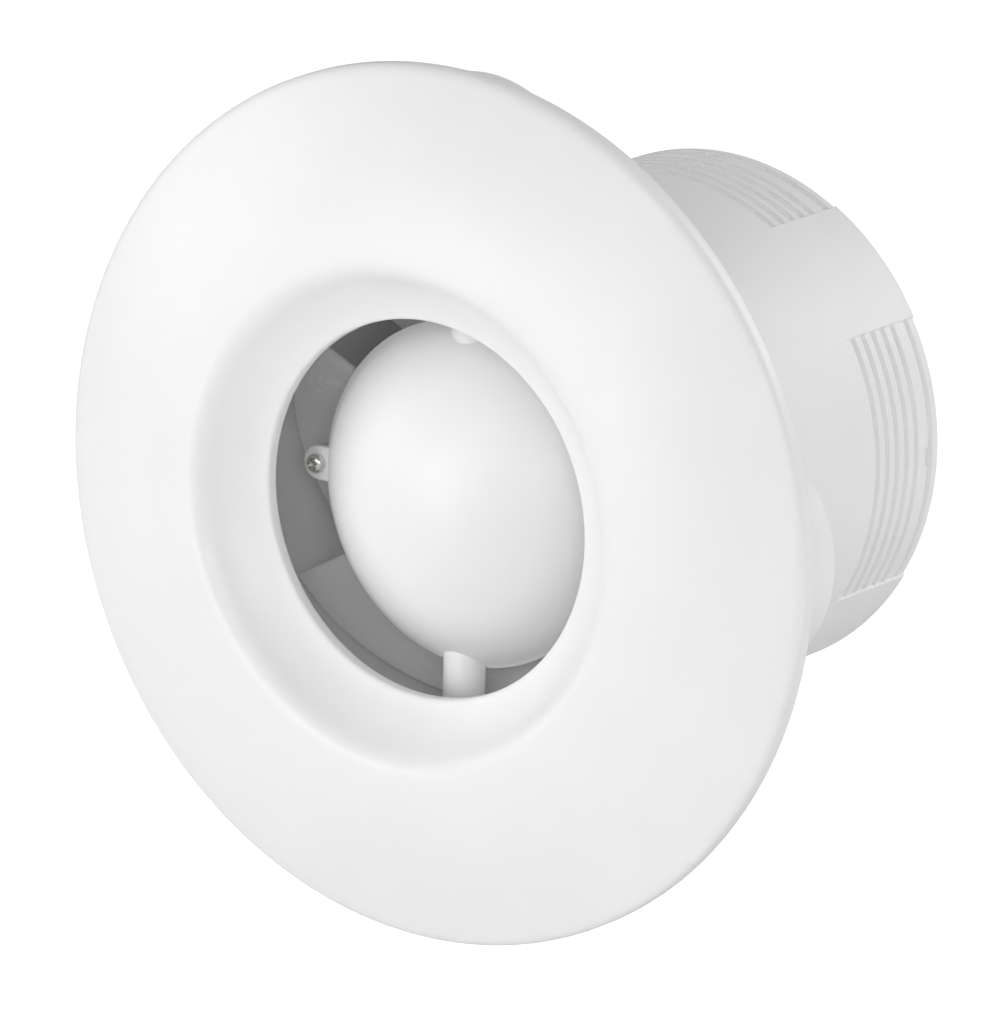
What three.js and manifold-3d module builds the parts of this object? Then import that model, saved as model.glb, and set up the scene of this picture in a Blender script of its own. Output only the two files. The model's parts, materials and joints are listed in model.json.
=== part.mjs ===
// A bathroom extractor fan for a round 100 mm duct, as an assembly of separate pieces.
// Millimetres. The fan's axis is Y: the room is towards -Y and the duct towards +Y. +Z is up and
// +X is to the right for someone in the room. The origin is on the axis, halfway between the
// foremost ring of the front panel and the open end of the spigot.
import * as THREE from "three";
import { mergeVertices } from "three/addons/utils/BufferGeometryUtils.js";
import Module from "manifold-3d";

const wasm = await Module();
wasm.setup();

// ---------------------------------------------------------------- driving dimensions
// Stations along the axis.
const PANEL_FRONT = -51; // foremost ring of the front panel
const PANEL_BACK = -37.8; // rear edge of the panel's rim
const THROAT_BACK = -40; // rear edge of the panel's throat
const WALL = -26; // plane of the wall, on which the base bears
const SPIGOT_END = 51; // open end of the spigot

// Front panel.
const PANEL_R = 81;
const RIDGE_R = 47.4;
const THROAT_R = 34.9;
const PANEL_WALL = 2;
// The funnel and the face between the throat and the rim: two control points and an end for each curve.
const FUNNEL = [
  [[THROAT_R, -42.6], [35.6, -42.65], [36.5, -43.1]],
  [[38.4, -44], [41.3, -46.3], [43.1, -48.4]],
  [[44.6, -50.1], [45.8, PANEL_FRONT], [RIDGE_R, PANEL_FRONT]],
];
const FACE = [
  [[57, PANEL_FRONT], [69.9, -46], [78.6, -42]],
  [[80.4, -41.2], [PANEL_R, -40.6], [PANEL_R, -39.4]],
];
const FUNNEL_BACK = -41.9; // where the funnel starts to open out of the straight throat

// Base: a square with rounded corners that point up, down, left and right.
const BASE_SIDE = 124.2;
const BASE_CORNER_R = 24;
const BASE_FRONT = -36.8; // front edge of the skirt
const SKIN = 2; // wall of the skirt
const FLOOR = 2.5; // thickness of the base's floor
const FLOOR_FRONT = WALL - FLOOR;

// Spigot.
const DUCT_R = 47; // inside
const PAD_R = 49.4; // smooth pads, the largest outside radius
const RIB_R = 49; // tops of the ribs
const GROOVE_R = 48; // bottoms of the grooves
const PATCH_ANGLE = Math.PI / 3; // width of each ribbed patch
const PATCH_FRONT = 28.3;
const GROOVE_FIRST = 30.8;
const GROOVE_PITCH = 3.2;
const GROOVE_WIDTH = 1.2;
const GROOVE_COUNT = 5;
const LAST_GROOVE = 48.2;
const WINDOW = { y: 47.1, across: 3.2, along: 1.2 }; // snap windows, one in each patch

// Motor pod: a dome on two struts, with a lug on each side.
const DOME_R = 32.2;
const DOME_RISE = 16.4;
const DOME_BACK = -28;
const DOME_WALL = 1.6;
const STRUT = { radius: 4.8, front: -32, inner: 26, outer: 57.5 }; // half-round bars
const CHANNEL = { radius: 3.5, inner: 22 }; // open along the back of each strut, for the leads
const EAR = { front: -31.4, radius: 4.2, screwX: 8.6, screwZ: 53.2 }; // beside each strut's foot
const LUG = { reach: 33.6, radius: 3.2, hole: 1.5, front: -29.3, back: -27.7 };

// Motor.
const PLATE = { front: -27.6, back: -26.4, radius: 27, earWidth: 6.4 };
const PLATE_VENT = { x: 5.3, z: 18.6, radius: 1.8 };
const LEAD_EXIT = { z: 21, radius: 2.8 }; // the leads' hole in the plate
const CAN = { radius: 25, back: -1, wall: 1 };
const STATOR = { radius: 23.6, front: -19.5, back: -6.5, bore: 10.6, yoke: 19.4, tooth: 6 };
const COIL = { thickness: 2.2, inner: 13, outer: 18.2 };
const ROTOR_R = 10;
const BEARING = { radius: 5, length: 4.4, front: -28.6, rear: -4.7 };
const SHAFT = { radius: 2, front: -29.6, back: 9.6 };
const RUNNING = 0.05; // radial running clearance of the shaft in its bearings

// Impeller.
const HUB = { radius: 29, wall: 1.8, front: -23.4, back: 6 };
const BLADES = 6;
const BLADE = { root: 28.4, tip: 46, front: -24.6, depth: 20, sweep: 1.02, thick: 2, thin: 1.6 };
const BLADE_LEAN = 2.3; // how far the outer half of a blade leans towards the room

// Back-draught shutter in the spigot's end.
const SHUTTER = { outer: 46.7, inner: 44.8, ledge: 42.4, front: 43, seat: 44.7, back: 50.5 };
const MULLION = 2.6; // half the width of the bar across the frame
const SEAT = 2.2; // half the width of the blocks that hold the pin's ends
const NIB = { reach: 48.1, thick: 0.6, half: 1.2 }; // snap nibs, one in each window
const PIN = { radius: 1, y: 47, half: 46 };
const KNUCKLE_R = 2.1;
const KNUCKLE_BORE = 1.08;
const KNUCKLES = [
  { side: -1, z0: -38, z1: -30 },
  { side: 1, z0: -16, z1: -8 },
  { side: -1, z0: 8, z1: 16 },
  { side: 1, z0: 30, z1: 38 },
];
const CLEAR_R = 2.6; // room round the pin for the other flap's knuckles and the springs
const SADDLE = { half: 2, x: 1.6, rise: 1.8 };
const SPRINGS = [
  { side: -1, z0: 19, z1: 24 },
  { side: 1, z0: -24, z1: -19 },
];
const SPRING = { mean: 1.75, radius: 0.28, turns: 4, leg: 11, legDrop: 0.65, tail: 2.4 };
const FLAP = { radius: 43.8, front: 44.9, back: 45.9, gap: 0.4, root: 3.4 };

// Wiring in the base's upper corner.
const BLOCK = { left: -4, right: 12, low: 61.5, high: 69.5, front: -38 };
const INSERT = { half: 2, low: 61.8, high: 68.6, front: -35.4, back: -31.4 };
const TERMINAL_X = [0, 8];
const TERMINAL_Z = 65.5;
const TERMINAL_Y = -33.4;
const SUPPLY_ENTRY = 1.5; // radius of each supply wire's way into the block
const BLOCK_SCREW_HOLE = 1.35; // radius, through the block and its cover
const GROMMET = { x: -18, z: 56, hole: 4.4, flange: 5.6, bore: 3.2, front: -30 };
const LEAD = { radius: 0.7, x: 1.1, y: -29.5 }; // half the leads' spacing and their depth in the strut
const BLOCK_MIDDLE = (TERMINAL_X[0] + TERMINAL_X[1]) / 2;
const COVER = { front: -40.4, back: -36.9, wall: 1.1, room: 0.2, screw: 13.2 };
const CLAMP = { x: -11, z: 61, screw: 4.8, width: 4, seat: -31.4, front: -33.4, post: 2.2 };
const WALL_HOLE = { reach: 67, radius: 2.3 };

// Screws: pan heads with a cross recess.
const SMALL_SCREW = { head: 1.9, height: 1.7, shank: 1.1 };
const MEDIUM_SCREW = { head: 2.8, height: 2, shank: 1.45 };
const LUG_SCREW = { head: 1.8, height: 1.6, shank: 1.3 };

const PILOT = { small: 1.2, medium: 1.55 }; // holes in the base for the two screws

// Pegs behind the panel and their sockets in the base.
const PEG = { reach: 53.4, radius: 2.5, shoulder: 3.6, root: -49, taper: 2, tip: 1.6, end: -29 };
const SOCKET = { outer: 4.2, bore: 2.9, front: -35.5, end: -27.8 };

const FIT = 0.1; // gap left between pieces that rest on one another
const LOOSE = 0.15; // radial room of a screw in a clearance hole
const SEGMENTS = 48; // facets round a large circle
const ARC_STEPS = 4; // half the facets of a sixth of a turn, so that arcs meet the circles' facets
const TAU = 2 * Math.PI;

// ---------------------------------------------------------------- solids
// A closed geometry as a solid that can be joined and cut.
function solid(geometry) {
  const bare = new THREE.BufferGeometry();
  bare.setAttribute("position", geometry.getAttribute("position"));
  if (geometry.index) bare.setIndex(geometry.index);
  const merged = mergeVertices(bare, 1e-4);
  const corners = merged.index.array;
  const kept = [];
  for (let i = 0; i < corners.length; i += 3) {
    const [a, b, c] = [corners[i], corners[i + 1], corners[i + 2]];
    if (a !== b && b !== c && c !== a) kept.push(a, b, c);
  }
  const vertProperties = new Float32Array(merged.attributes.position.array);
  const build = (list) =>
    new wasm.Manifold(new wasm.Mesh({ numProp: 3, vertProperties, triVerts: new Uint32Array(list) }));
  const made = build(kept);
  return made.volume() > 0 ? made : build(kept.reverse());
}

const asSolid = (thing) => (thing.isBufferGeometry ? solid(thing) : thing);

const join = (...things) => things.map(asSolid).reduce((whole, next) => whole.add(next));

const cut = (whole, ...tools) =>
  tools.map(asSolid).reduce((left, tool) => left.subtract(tool), asSolid(whole));

function geometryOf(made) {
  const { vertProperties, triVerts } = made.getMesh();
  const geometry = new THREE.BufferGeometry();
  geometry.setAttribute("position", new THREE.BufferAttribute(vertProperties, 3));
  geometry.setIndex(new THREE.BufferAttribute(triVerts, 1));
  const flat = geometry.toNonIndexed();
  flat.computeVertexNormals();
  return flat;
}

// A named mesh of one solid, placed at x, y, z.
function piece(name, thing, look, [x, y, z] = [0, 0, 0]) {
  const mesh = new THREE.Mesh(geometryOf(asSolid(thing)), look);
  mesh.name = name;
  mesh.position.set(x, y, z);
  return mesh;
}

// ---------------------------------------------------------------- shapes
// A closed geometry of revolution about the Y axis, from a list of [radius, y].
function turned(pairs, segments = SEGMENTS) {
  const profile = pairs.map(([r, y]) => new THREE.Vector2(r, y));
  const onAxis = profile[0].x === 0 && profile[profile.length - 1].x === 0;
  if (!onAxis) profile.push(profile[0].clone());
  return new THREE.LatheGeometry(profile, segments);
}

const tube = (inner, outer, y0, y1, segments) =>
  turned([[inner, y0], [outer, y0], [outer, y1], [inner, y1]], segments);

const disc = (radius, y0, y1, segments) =>
  turned([[0, y0], [radius, y0], [radius, y1], [0, y1]], segments);

function box(x0, x1, y0, y1, z0, z1) {
  const geometry = new THREE.BoxGeometry(x1 - x0, y1 - y0, z1 - z0);
  return geometry.translate((x0 + x1) / 2, (y0 + y1) / 2, (z0 + z1) / 2);
}

// A round bar along Z.
function barZ(radius, x, y, z0, z1, segments = 16) {
  const geometry = new THREE.CylinderGeometry(radius, radius, z1 - z0, segments);
  return geometry.rotateX(Math.PI / 2).translate(x, y, (z0 + z1) / 2);
}

// A shape drawn in x and z, given thickness along Y.
function slab(shape, y0, y1, curveSegments = 4) {
  const geometry = new THREE.ExtrudeGeometry(shape, {
    depth: y1 - y0,
    bevelEnabled: false,
    curveSegments,
  });
  return geometry.rotateX(Math.PI / 2).translate(0, y1, 0);
}

// A round wire along a curve.
function wireAlong(curve, radius, steps) {
  const section = new THREE.Shape();
  section.absarc(0, 0, radius, 0, TAU, false);
  return new THREE.ExtrudeGeometry(section, { steps, curveSegments: 3, extrudePath: curve });
}

// Outline of the base, inset from its outside: a rounded square that stands on one corner.
function baseOutline(inset) {
  const reach = (BASE_SIDE / 2 - BASE_CORNER_R) * Math.SQRT2;
  const shape = new THREE.Shape();
  for (let quarter = 0; quarter < 4; quarter++) {
    const middle = (quarter * Math.PI) / 2;
    const [x, z] = [reach * Math.cos(middle), reach * Math.sin(middle)];
    shape.absarc(x, z, BASE_CORNER_R - inset, middle - Math.PI / 4, middle + Math.PI / 4, false);
  }
  shape.closePath();
  return shape;
}

// A ring sector in x and z, centred on an angle measured from +X towards +Z.
function sector(inner, outer, middle, width) {
  const shape = new THREE.Shape();
  shape.absarc(0, 0, outer, middle - width / 2, middle + width / 2, false);
  shape.absarc(0, 0, inner, middle + width / 2, middle - width / 2, true);
  shape.closePath();
  return shape;
}

// Calls make(angle) for four angles a quarter turn apart.
const aroundFour = (make, start = 0) => [0, 1, 2, 3].map((k) => make(start + (k * Math.PI) / 2));

// ---------------------------------------------------------------- materials
function finish(colour, roughness, metalness = 0) {
  return new THREE.MeshStandardMaterial({ color: colour, roughness, metalness });
}

const whitePlastic = () => finish(0xf2f2f1, 0.45);
const lightGreyPlastic = () => finish(0xdcdcdc, 0.3);
const creamPlastic = () => finish(0xe6e2d6, 0.5);
const rubber = () => finish(0x333333, 0.85);
const zincSteel = () => finish(0xb9bcc0, 0.35, 1);
const springSteel = () => finish(0xa3a6aa, 0.3, 1);
const laminations = () => finish(0x6f7276, 0.5, 1);
const copper = () => finish(0xb4622f, 0.35, 1);
const brass = () => finish(0xc9a24a, 0.35, 1);
const bronze = () => finish(0x9a7748, 0.5, 1);
const insulation = (colour) => finish(colour, 0.45);

// ---------------------------------------------------------------- screws
// A pan-head screw with a cross recess. The head's underside is at y = 0 and the head towards -Y.
function screw({ head, height, shank }, length) {
  const crown = [[0, -height], [head * 0.62, -height], [head, -height * 0.45], [head, 0]];
  const blank = turned([...crown, [shank, 0], [shank, length], [0, length]], 10);
  const [arm, slot] = [head * 0.6, head * 0.16];
  const floor = -height * 0.45; // of the recess
  return cut(
    blank,
    box(-arm, arm, -height - 1, floor, -slot, slot),
    box(-slot, slot, -height - 1, floor, -arm, arm),
  );
}

// ---------------------------------------------------------------- front panel
// The face seen from the room, from the back of the throat out to the rim's rear edge.
function panelFace(steps) {
  const face = new THREE.Path();
  face.moveTo(THROAT_R, THROAT_BACK);
  face.lineTo(THROAT_R, FUNNEL_BACK);
  [...FUNNEL, ...FACE].forEach((curve) => face.bezierCurveTo(...curve.flat()));
  face.lineTo(PANEL_R, PANEL_BACK);
  return face.getPoints(steps);
}

// The same line moved back into the material by the panel's wall.
function offsetInward(line, distance) {
  return line.map((point, i) => {
    const before = line[Math.max(i - 1, 0)];
    const after = line[Math.min(i + 1, line.length - 1)];
    const along = after.clone().sub(before).normalize();
    return new THREE.Vector2(point.x - along.y * distance, point.y + along.x * distance);
  });
}

// A locating peg with a shoulder that stops on the rim of its socket.
function peg(angle) {
  const { radius, root, taper, tip, end } = PEG;
  const shoulder = disc(PEG.shoulder, root, SOCKET.front - FIT, 12);
  const shank = turned([[0, root], [radius, root], [radius, end - taper], [tip, end], [0, end]], 12);
  const place = (geometry) =>
    geometry.translate(PEG.reach * Math.cos(angle), 0, PEG.reach * Math.sin(angle));
  return join(place(shoulder), place(shank));
}

function frontPanel() {
  const face = panelFace(3);
  const back = offsetInward(panelFace(2), PANEL_WALL).reverse();
  back[0].y = PANEL_BACK;
  back[back.length - 1].y = THROAT_BACK;
  const shell = turned([...face, ...back].map((point) => [point.x, point.y]), 40);
  return join(shell, ...aroundFour(peg, Math.PI / 4));
}

// ---------------------------------------------------------------- base
// The recess of one ribbed patch of the spigot, with its grooves.
function patchCutters(angle) {
  const beyond = PAD_R + 2;
  const ring = (inner, y0, y1) => slab(sector(inner, beyond, angle, PATCH_ANGLE), y0, y1, ARC_STEPS);
  const cutters = [ring(RIB_R, PATCH_FRONT, SPIGOT_END + 1)];
  for (let k = 0; k < GROOVE_COUNT; k++) {
    const y = GROOVE_FIRST + k * GROOVE_PITCH;
    cutters.push(ring(GROOVE_R, y - GROOVE_WIDTH / 2, y + GROOVE_WIDTH / 2));
  }
  cutters.push(ring(GROOVE_R, LAST_GROOVE - GROOVE_WIDTH / 2, LAST_GROOVE + GROOVE_WIDTH / 2));
  const window = box(
    DUCT_R - 2, beyond,
    WINDOW.y - WINDOW.along / 2, WINDOW.y + WINDOW.along / 2,
    -WINDOW.across / 2, WINDOW.across / 2,
  );
  cutters.push(window.rotateY(-angle));
  return cutters;
}

function socket(angle) {
  const [x, z] = [PEG.reach * Math.cos(angle), PEG.reach * Math.sin(angle)];
  const post = disc(SOCKET.outer, SOCKET.front, WALL - 1, 16).translate(x, 0, z);
  const bore = disc(SOCKET.bore, SOCKET.front - 1, SOCKET.end, 16).translate(x, 0, z);
  return { post, bore };
}

// Centres of the two screws of the cable clamp, in x and z.
function clampScrews() {
  const offset = CLAMP.screw / Math.SQRT2;
  return [-1, 1].map((side) => [CLAMP.x + side * offset, CLAMP.z - side * offset]);
}

// A hole along Y through the base's floor.
const floorHole = (radius, x, z) => disc(radius, BASE_FRONT, WALL + 1, 16).translate(x, 0, z);

function baseHousing() {
  const tray = cut(
    slab(baseOutline(0), BASE_FRONT, WALL),
    slab(baseOutline(SKIN), BASE_FRONT - 1, FLOOR_FRONT),
  );
  const sockets = aroundFour(socket, Math.PI / 4);
  const clampPosts = clampScrews().map(([x, z]) =>
    disc(CLAMP.post, CLAMP.seat, WALL - 1, 14).translate(x, 0, z));
  const whole = join(
    tray,
    disc(PAD_R, WALL - 1, SPIGOT_END),
    ...sockets.map((each) => each.post),
    ...clampPosts,
  );
  return cut(
    whole,
    disc(DUCT_R, BASE_FRONT - 1, SPIGOT_END + 1),
    ...aroundFour(patchCutters).flat(),
    ...sockets.map((each) => each.bore),
    ...clampScrews().map(([x, z]) => floorHole(PILOT.small, x, z)),
    floorHole(PILOT.medium, EAR.screwX, EAR.screwZ),
    floorHole(PILOT.medium, -EAR.screwX, -EAR.screwZ),
    floorHole(PILOT.small, BLOCK_MIDDLE, TERMINAL_Z),
    floorHole(GROMMET.hole, GROMMET.x, GROMMET.z),
    floorHole(WALL_HOLE.radius, WALL_HOLE.reach, 0),
    floorHole(WALL_HOLE.radius, -WALL_HOLE.reach, 0),
    floorHole(WALL_HOLE.radius, 0, -WALL_HOLE.reach),
  );
}

// ---------------------------------------------------------------- motor pod
// Radius of the sphere that a cap of this rim radius and rise is cut from.
const capSphere = (rim, rise) => (rim * rim + rise * rise) / (2 * rise);

// A cap's outline from its crown on the axis to its rim.
function capArc(sphere, centre, back, steps) {
  const rim = Math.acos((centre - back) / sphere);
  return Array.from({ length: steps + 1 }, (_, k) => {
    const angle = (rim * k) / steps;
    return [sphere * Math.sin(angle), centre - sphere * Math.cos(angle)];
  });
}

function dome() {
  const sphere = capSphere(DOME_R, DOME_RISE);
  const centre = DOME_BACK - DOME_RISE + sphere;
  const outside = capArc(sphere, centre, DOME_BACK, 7);
  const inside = capArc(sphere - DOME_WALL, centre, DOME_BACK, 5);
  return turned([...outside, ...inside.reverse()], 36);
}

// A bar along Z whose section is the part of a circle in front of the plane y = back.
function halfRound(radius, back, z0, z1) {
  const centre = STRUT.front + STRUT.radius;
  const edge = Math.asin((back - centre) / radius);
  const section = new THREE.Shape();
  section.absarc(0, centre, radius, edge, -Math.PI - edge, true);
  section.closePath();
  const geometry = new THREE.ExtrudeGeometry(section, {
    depth: z1 - z0,
    bevelEnabled: false,
    curveSegments: 7,
  });
  return geometry.translate(0, 0, z0);
}

// The upper strut and the ear that is screwed to the base. The lower one is half a turn away.
function strut() {
  const back = FLOOR_FRONT - FIT;
  const { front, radius, screwX } = EAR;
  return [
    halfRound(STRUT.radius, back, STRUT.inner, STRUT.outer),
    box(STRUT.radius - 1.2, screwX, front, back, STRUT.outer - 2 * radius, STRUT.outer),
    disc(radius, front, back, 20).translate(screwX, 0, STRUT.outer - radius),
  ];
}

// The channel for the leads, open at the back and at both ends, and the ear's screw hole.
function strutHollow() {
  const centre = STRUT.front + STRUT.radius;
  const end = STRUT.outer + 1;
  return [
    halfRound(CHANNEL.radius, centre + 1, CHANNEL.inner, end),
    disc(MEDIUM_SCREW.shank + LOOSE, EAR.front - 1, WALL, 16).translate(EAR.screwX, 0, EAR.screwZ),
  ];
}

function lug(side) {
  const tab = box(DOME_R - 4, LUG.reach, LUG.front, LUG.back, -LUG.radius, LUG.radius);
  const end = disc(LUG.radius, LUG.front, LUG.back, 20).translate(LUG.reach, 0, 0);
  const hole = disc(LUG.hole, LUG.front - 1, LUG.back + 1, 16).translate(LUG.reach, 0, 0);
  const turn = (geometry) => (side < 0 ? geometry.rotateY(Math.PI) : geometry);
  return { tab: turn(tab), end: turn(end), hole: turn(hole) };
}

const bothEnds = (make) => [...make(), ...make().map((geometry) => geometry.rotateY(Math.PI))];

function motorPod() {
  const lugs = [lug(1), lug(-1)];
  const whole = join(dome(), ...bothEnds(strut), ...lugs.flatMap(({ tab, end }) => [tab, end]));
  return cut(whole, ...bothEnds(strutHollow), ...lugs.map((each) => each.hole));
}

// ---------------------------------------------------------------- motor
function motorPlate() {
  const half = PLATE.earWidth / 2;
  const ears = join(
    box(-LUG.reach, LUG.reach, PLATE.front, PLATE.back, -half, half),
    disc(half, PLATE.front, PLATE.back, 16).translate(LUG.reach, 0, 0),
    disc(half, PLATE.front, PLATE.back, 16).translate(-LUG.reach, 0, 0),
  );
  const through = (radius, x, z) => disc(radius, PLATE.front - 1, PLATE.back + 1, 10).translate(x, 0, z);
  return cut(
    join(disc(PLATE.radius, PLATE.front, PLATE.back, 36), ears),
    disc(BEARING.radius + FIT / 2, PLATE.front - 1, PLATE.back + 1, 24),
    through(LUG.hole, LUG.reach, 0),
    through(LUG.hole, -LUG.reach, 0),
    through(LEAD_EXIT.radius, 0, LEAD_EXIT.z),
    ...[[1, 1], [-1, 1], [1, -1], [-1, -1]].map(([right, up]) =>
      through(PLATE_VENT.radius, right * PLATE_VENT.x, up * PLATE_VENT.z)),
  );
}

function motorCan() {
  const { radius, wall, back } = CAN;
  return turned([
    [radius - wall, PLATE.back + FIT],
    [radius, PLATE.back + FIT],
    [radius, back - 1],
    [radius - 1, back],
    [BEARING.radius + FIT / 2, back],
    [BEARING.radius + FIT / 2, back - 2.6],
    [BEARING.radius + 1.4, back - 2.6],
    [BEARING.radius + 1.4, back - wall],
    [radius - wall, back - wall],
  ], 28);
}

function statorCore() {
  const { radius, front, back, bore, yoke, tooth } = STATOR;
  const shoe = (angle) => slab(sector(bore, bore + 1.8, angle, 1.15), front, back, 3);
  const post = (angle) =>
    box(bore + 1, yoke + 0.5, front, back, -tooth / 2, tooth / 2).rotateY(-angle);
  return join(tube(yoke, radius, front, back, 36), ...aroundFour(shoe), ...aroundFour(post));
}

// A winding round one stator tooth that points up.
function coil() {
  const middle = (STATOR.front + STATOR.back) / 2;
  const inner = { across: STATOR.tooth / 2 + 0.2, along: (STATOR.back - STATOR.front) / 2 + 0.2 };
  const grown = (by) => ({ across: inner.across + by, along: inner.along + by });
  const rounded = (path, { across, along }, r) => {
    path.moveTo(across, along - r);
    path.absarc(across - r, along - r, r, 0, Math.PI / 2, false);
    path.absarc(-across + r, along - r, r, Math.PI / 2, Math.PI, false);
    path.absarc(-across + r, -along + r, r, Math.PI, 1.5 * Math.PI, false);
    path.absarc(across - r, -along + r, r, 1.5 * Math.PI, TAU, false);
    path.closePath();
    return path;
  };
  const shape = rounded(new THREE.Shape(), grown(COIL.thickness), 1.8);
  shape.holes.push(rounded(new THREE.Path(), inner, 0.4));
  const geometry = new THREE.ExtrudeGeometry(shape, {
    depth: COIL.outer - COIL.inner,
    bevelEnabled: false,
    curveSegments: 3,
  });
  return geometry.translate(0, middle, COIL.inner);
}

const bearing = () => tube(SHAFT.radius + RUNNING, BEARING.radius, 0, BEARING.length, 16);

const rotorCore = () => tube(SHAFT.radius + 0.02, ROTOR_R, STATOR.front - 0.5, STATOR.back + 0.5, 24);

function shaft() {
  const { radius, front, back } = SHAFT;
  return turned([[0, front], [radius - 0.4, front], [radius, front + 0.5], [radius, back], [0, back]], 24);
}

// ---------------------------------------------------------------- impeller
// One blade, from a unit box: x runs from root to tip, y is the thickness and z runs from the
// leading edge, which faces the room, to the trailing edge, a sweep angle behind and deeper.
function blade(start) {
  const geometry = new THREE.BoxGeometry(1, 1, 1, 2, 1, 8);
  const position = geometry.getAttribute("position");
  for (let i = 0; i < position.count; i++) {
    const outward = position.getX(i) + 0.5;
    const side = position.getY(i);
    const behind = position.getZ(i) + 0.5;
    const r = THREE.MathUtils.lerp(BLADE.root, BLADE.tip, outward);
    const slope = BLADE.depth * (0.6 + 0.8 * behind);
    const run = -BLADE.sweep * r;
    const length = Math.hypot(slope, run);
    const thickness = THREE.MathUtils.lerp(BLADE.thick, BLADE.thin, outward) * (1 - 0.4 * behind);
    const angle = start - BLADE.sweep * behind - (side * thickness * slope) / length / r;
    const depth = BLADE.depth * (0.6 * behind + 0.4 * behind * behind);
    const lean = BLADE_LEAN * Math.max(0, 2 * outward - 1);
    const y = BLADE.front + BLADE.thick / 2 + depth - lean + (side * thickness * run) / length;
    position.setXYZ(i, r * Math.sin(angle), y, r * Math.cos(angle));
  }
  return geometry;
}

function impeller() {
  const { radius, wall, front, back } = HUB;
  const cup = turned([
    [radius - wall, front],
    [radius, front],
    [radius, back - 1.5],
    [radius - 1.5, back],
    [6, back],
    [6, back + 1],
    [SHAFT.radius + 0.02, back + 1],
    [SHAFT.radius + 0.02, back - 4],
    [6, back - 4],
    [6, back - wall],
    [radius - wall, back - wall],
  ], 36);
  const blades = Array.from({ length: BLADES }, (_, k) => blade((k * TAU) / BLADES));
  return join(cup, ...blades);
}

const impellerClip = () => tube(SHAFT.radius + 0.05, 4.6, HUB.back + 1 + FIT, HUB.back + 1.9, 18);

// ---------------------------------------------------------------- back-draught shutter
function shutterFrame() {
  const { outer, inner, ledge, front, seat, back } = SHUTTER;
  const step = [[inner, back], [inner, seat], [ledge, seat]];
  const ring = turned([[ledge, front], [outer, front], [outer, back], ...step]);
  const mullion = box(-MULLION, MULLION, front, seat, -ledge - 1, ledge + 1);
  const saddle = box(-SADDLE.x, SADDLE.x, seat - 0.5, PIN.y + SADDLE.rise, -SADDLE.half, SADDLE.half);
  const pinSeat = (z0, z1) => box(-SEAT, SEAT, seat - 1, PIN.y + SEAT, z0, z1);
  const nib = (angle) => {
    const { reach, thick, half } = NIB;
    const y = WINDOW.y - thick / 2;
    return box(outer - 0.5, reach, y, y + thick, -half, half).rotateY(-angle);
  };
  return cut(
    join(
      ring,
      mullion,
      saddle,
      pinSeat(SHUTTER.inner - 1.6, outer - 0.8),
      pinSeat(-outer + 0.8, -SHUTTER.inner + 1.6),
      ...aroundFour(nib),
    ),
    barZ(PIN.radius + 0.03, 0, PIN.y, -PIN.half - 0.2, PIN.half + 0.2, 16),
  );
}

const hingePin = () => barZ(PIN.radius, 0, PIN.y, -PIN.half, PIN.half, 12);

// A half-round flap on the side of x given by its sign, with knuckles on the pin.
function flap(side) {
  const knuckles = KNUCKLES.filter((each) => each.side === side);
  const other = KNUCKLES.filter((each) => each.side !== side);
  const half = Math.PI / 2 - Math.asin(FLAP.gap / FLAP.radius);
  const outline = new THREE.Shape();
  outline.absarc(0, 0, FLAP.radius, -half, half, false);
  outline.closePath();
  const leaf = slab(outline, FLAP.front, FLAP.back, 10);
  if (side < 0) leaf.rotateY(Math.PI);
  const room = (z0, z1, r = CLEAR_R) =>
    box(-r, r, FLAP.front - 1, FLAP.back + 1, z0 - FLAP.gap, z1 + FLAP.gap);
  const end = SHUTTER.inner - 2;
  const [x0, x1] = [Math.min(0, side * FLAP.root), Math.max(0, side * FLAP.root)];
  const plate = cut(
    leaf,
    ...other.map(({ z0, z1 }) => room(z0, z1)),
    ...SPRINGS.map(({ z0, z1 }) => room(z0 - SPRING.tail, z1 + FLAP.gap)),
    room(-SADDLE.half, SADDLE.half),
    room(end, SHUTTER.outer, CLEAR_R + 0.9),
    room(-SHUTTER.outer, -end, CLEAR_R + 0.9),
  );
  const hinges = knuckles.map(({ z0, z1 }) =>
    join(
      barZ(KNUCKLE_R, 0, PIN.y, z0, z1, 16),
      box(x0, x1, FLAP.front, FLAP.back, z0, z1),
    ));
  return cut(join(plate, ...hinges), barZ(KNUCKLE_BORE, 0, PIN.y, -PIN.half, PIN.half, 16));
}

// A torsion spring wound round the pin: one leg lies on the mullion and one behind the flap.
class SpringCurve extends THREE.Curve {
  constructor(z0, z1, side) {
    super();
    Object.assign(this, { z0, z1, side });
  }

  getPoint(t, target = new THREE.Vector3()) {
    const share = 0.2; // of the curve's length in each leg
    const coil = THREE.MathUtils.clamp((t - share) / (1 - 2 * share), 0, 1);
    const angle = -Math.PI / 2 + this.side * coil * SPRING.turns * TAU;
    const first = Math.max(0, share - t) / share;
    const last = Math.max(0, t - 1 + share) / share;
    const lift = Math.min(1, last * 6);
    const x = SPRING.mean * Math.cos(angle) + last * this.side * SPRING.leg;
    const y = SPRING.mean * Math.sin(angle) * (1 - lift) - SPRING.legDrop * lift;
    const z = THREE.MathUtils.lerp(this.z0, this.z1, coil) - first * 2;
    return target.set(x, PIN.y + y, z);
  }
}

const flapSpring = ({ side, z0, z1 }) => wireAlong(new SpringCurve(z0, z1, side), SPRING.radius, 30);

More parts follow.
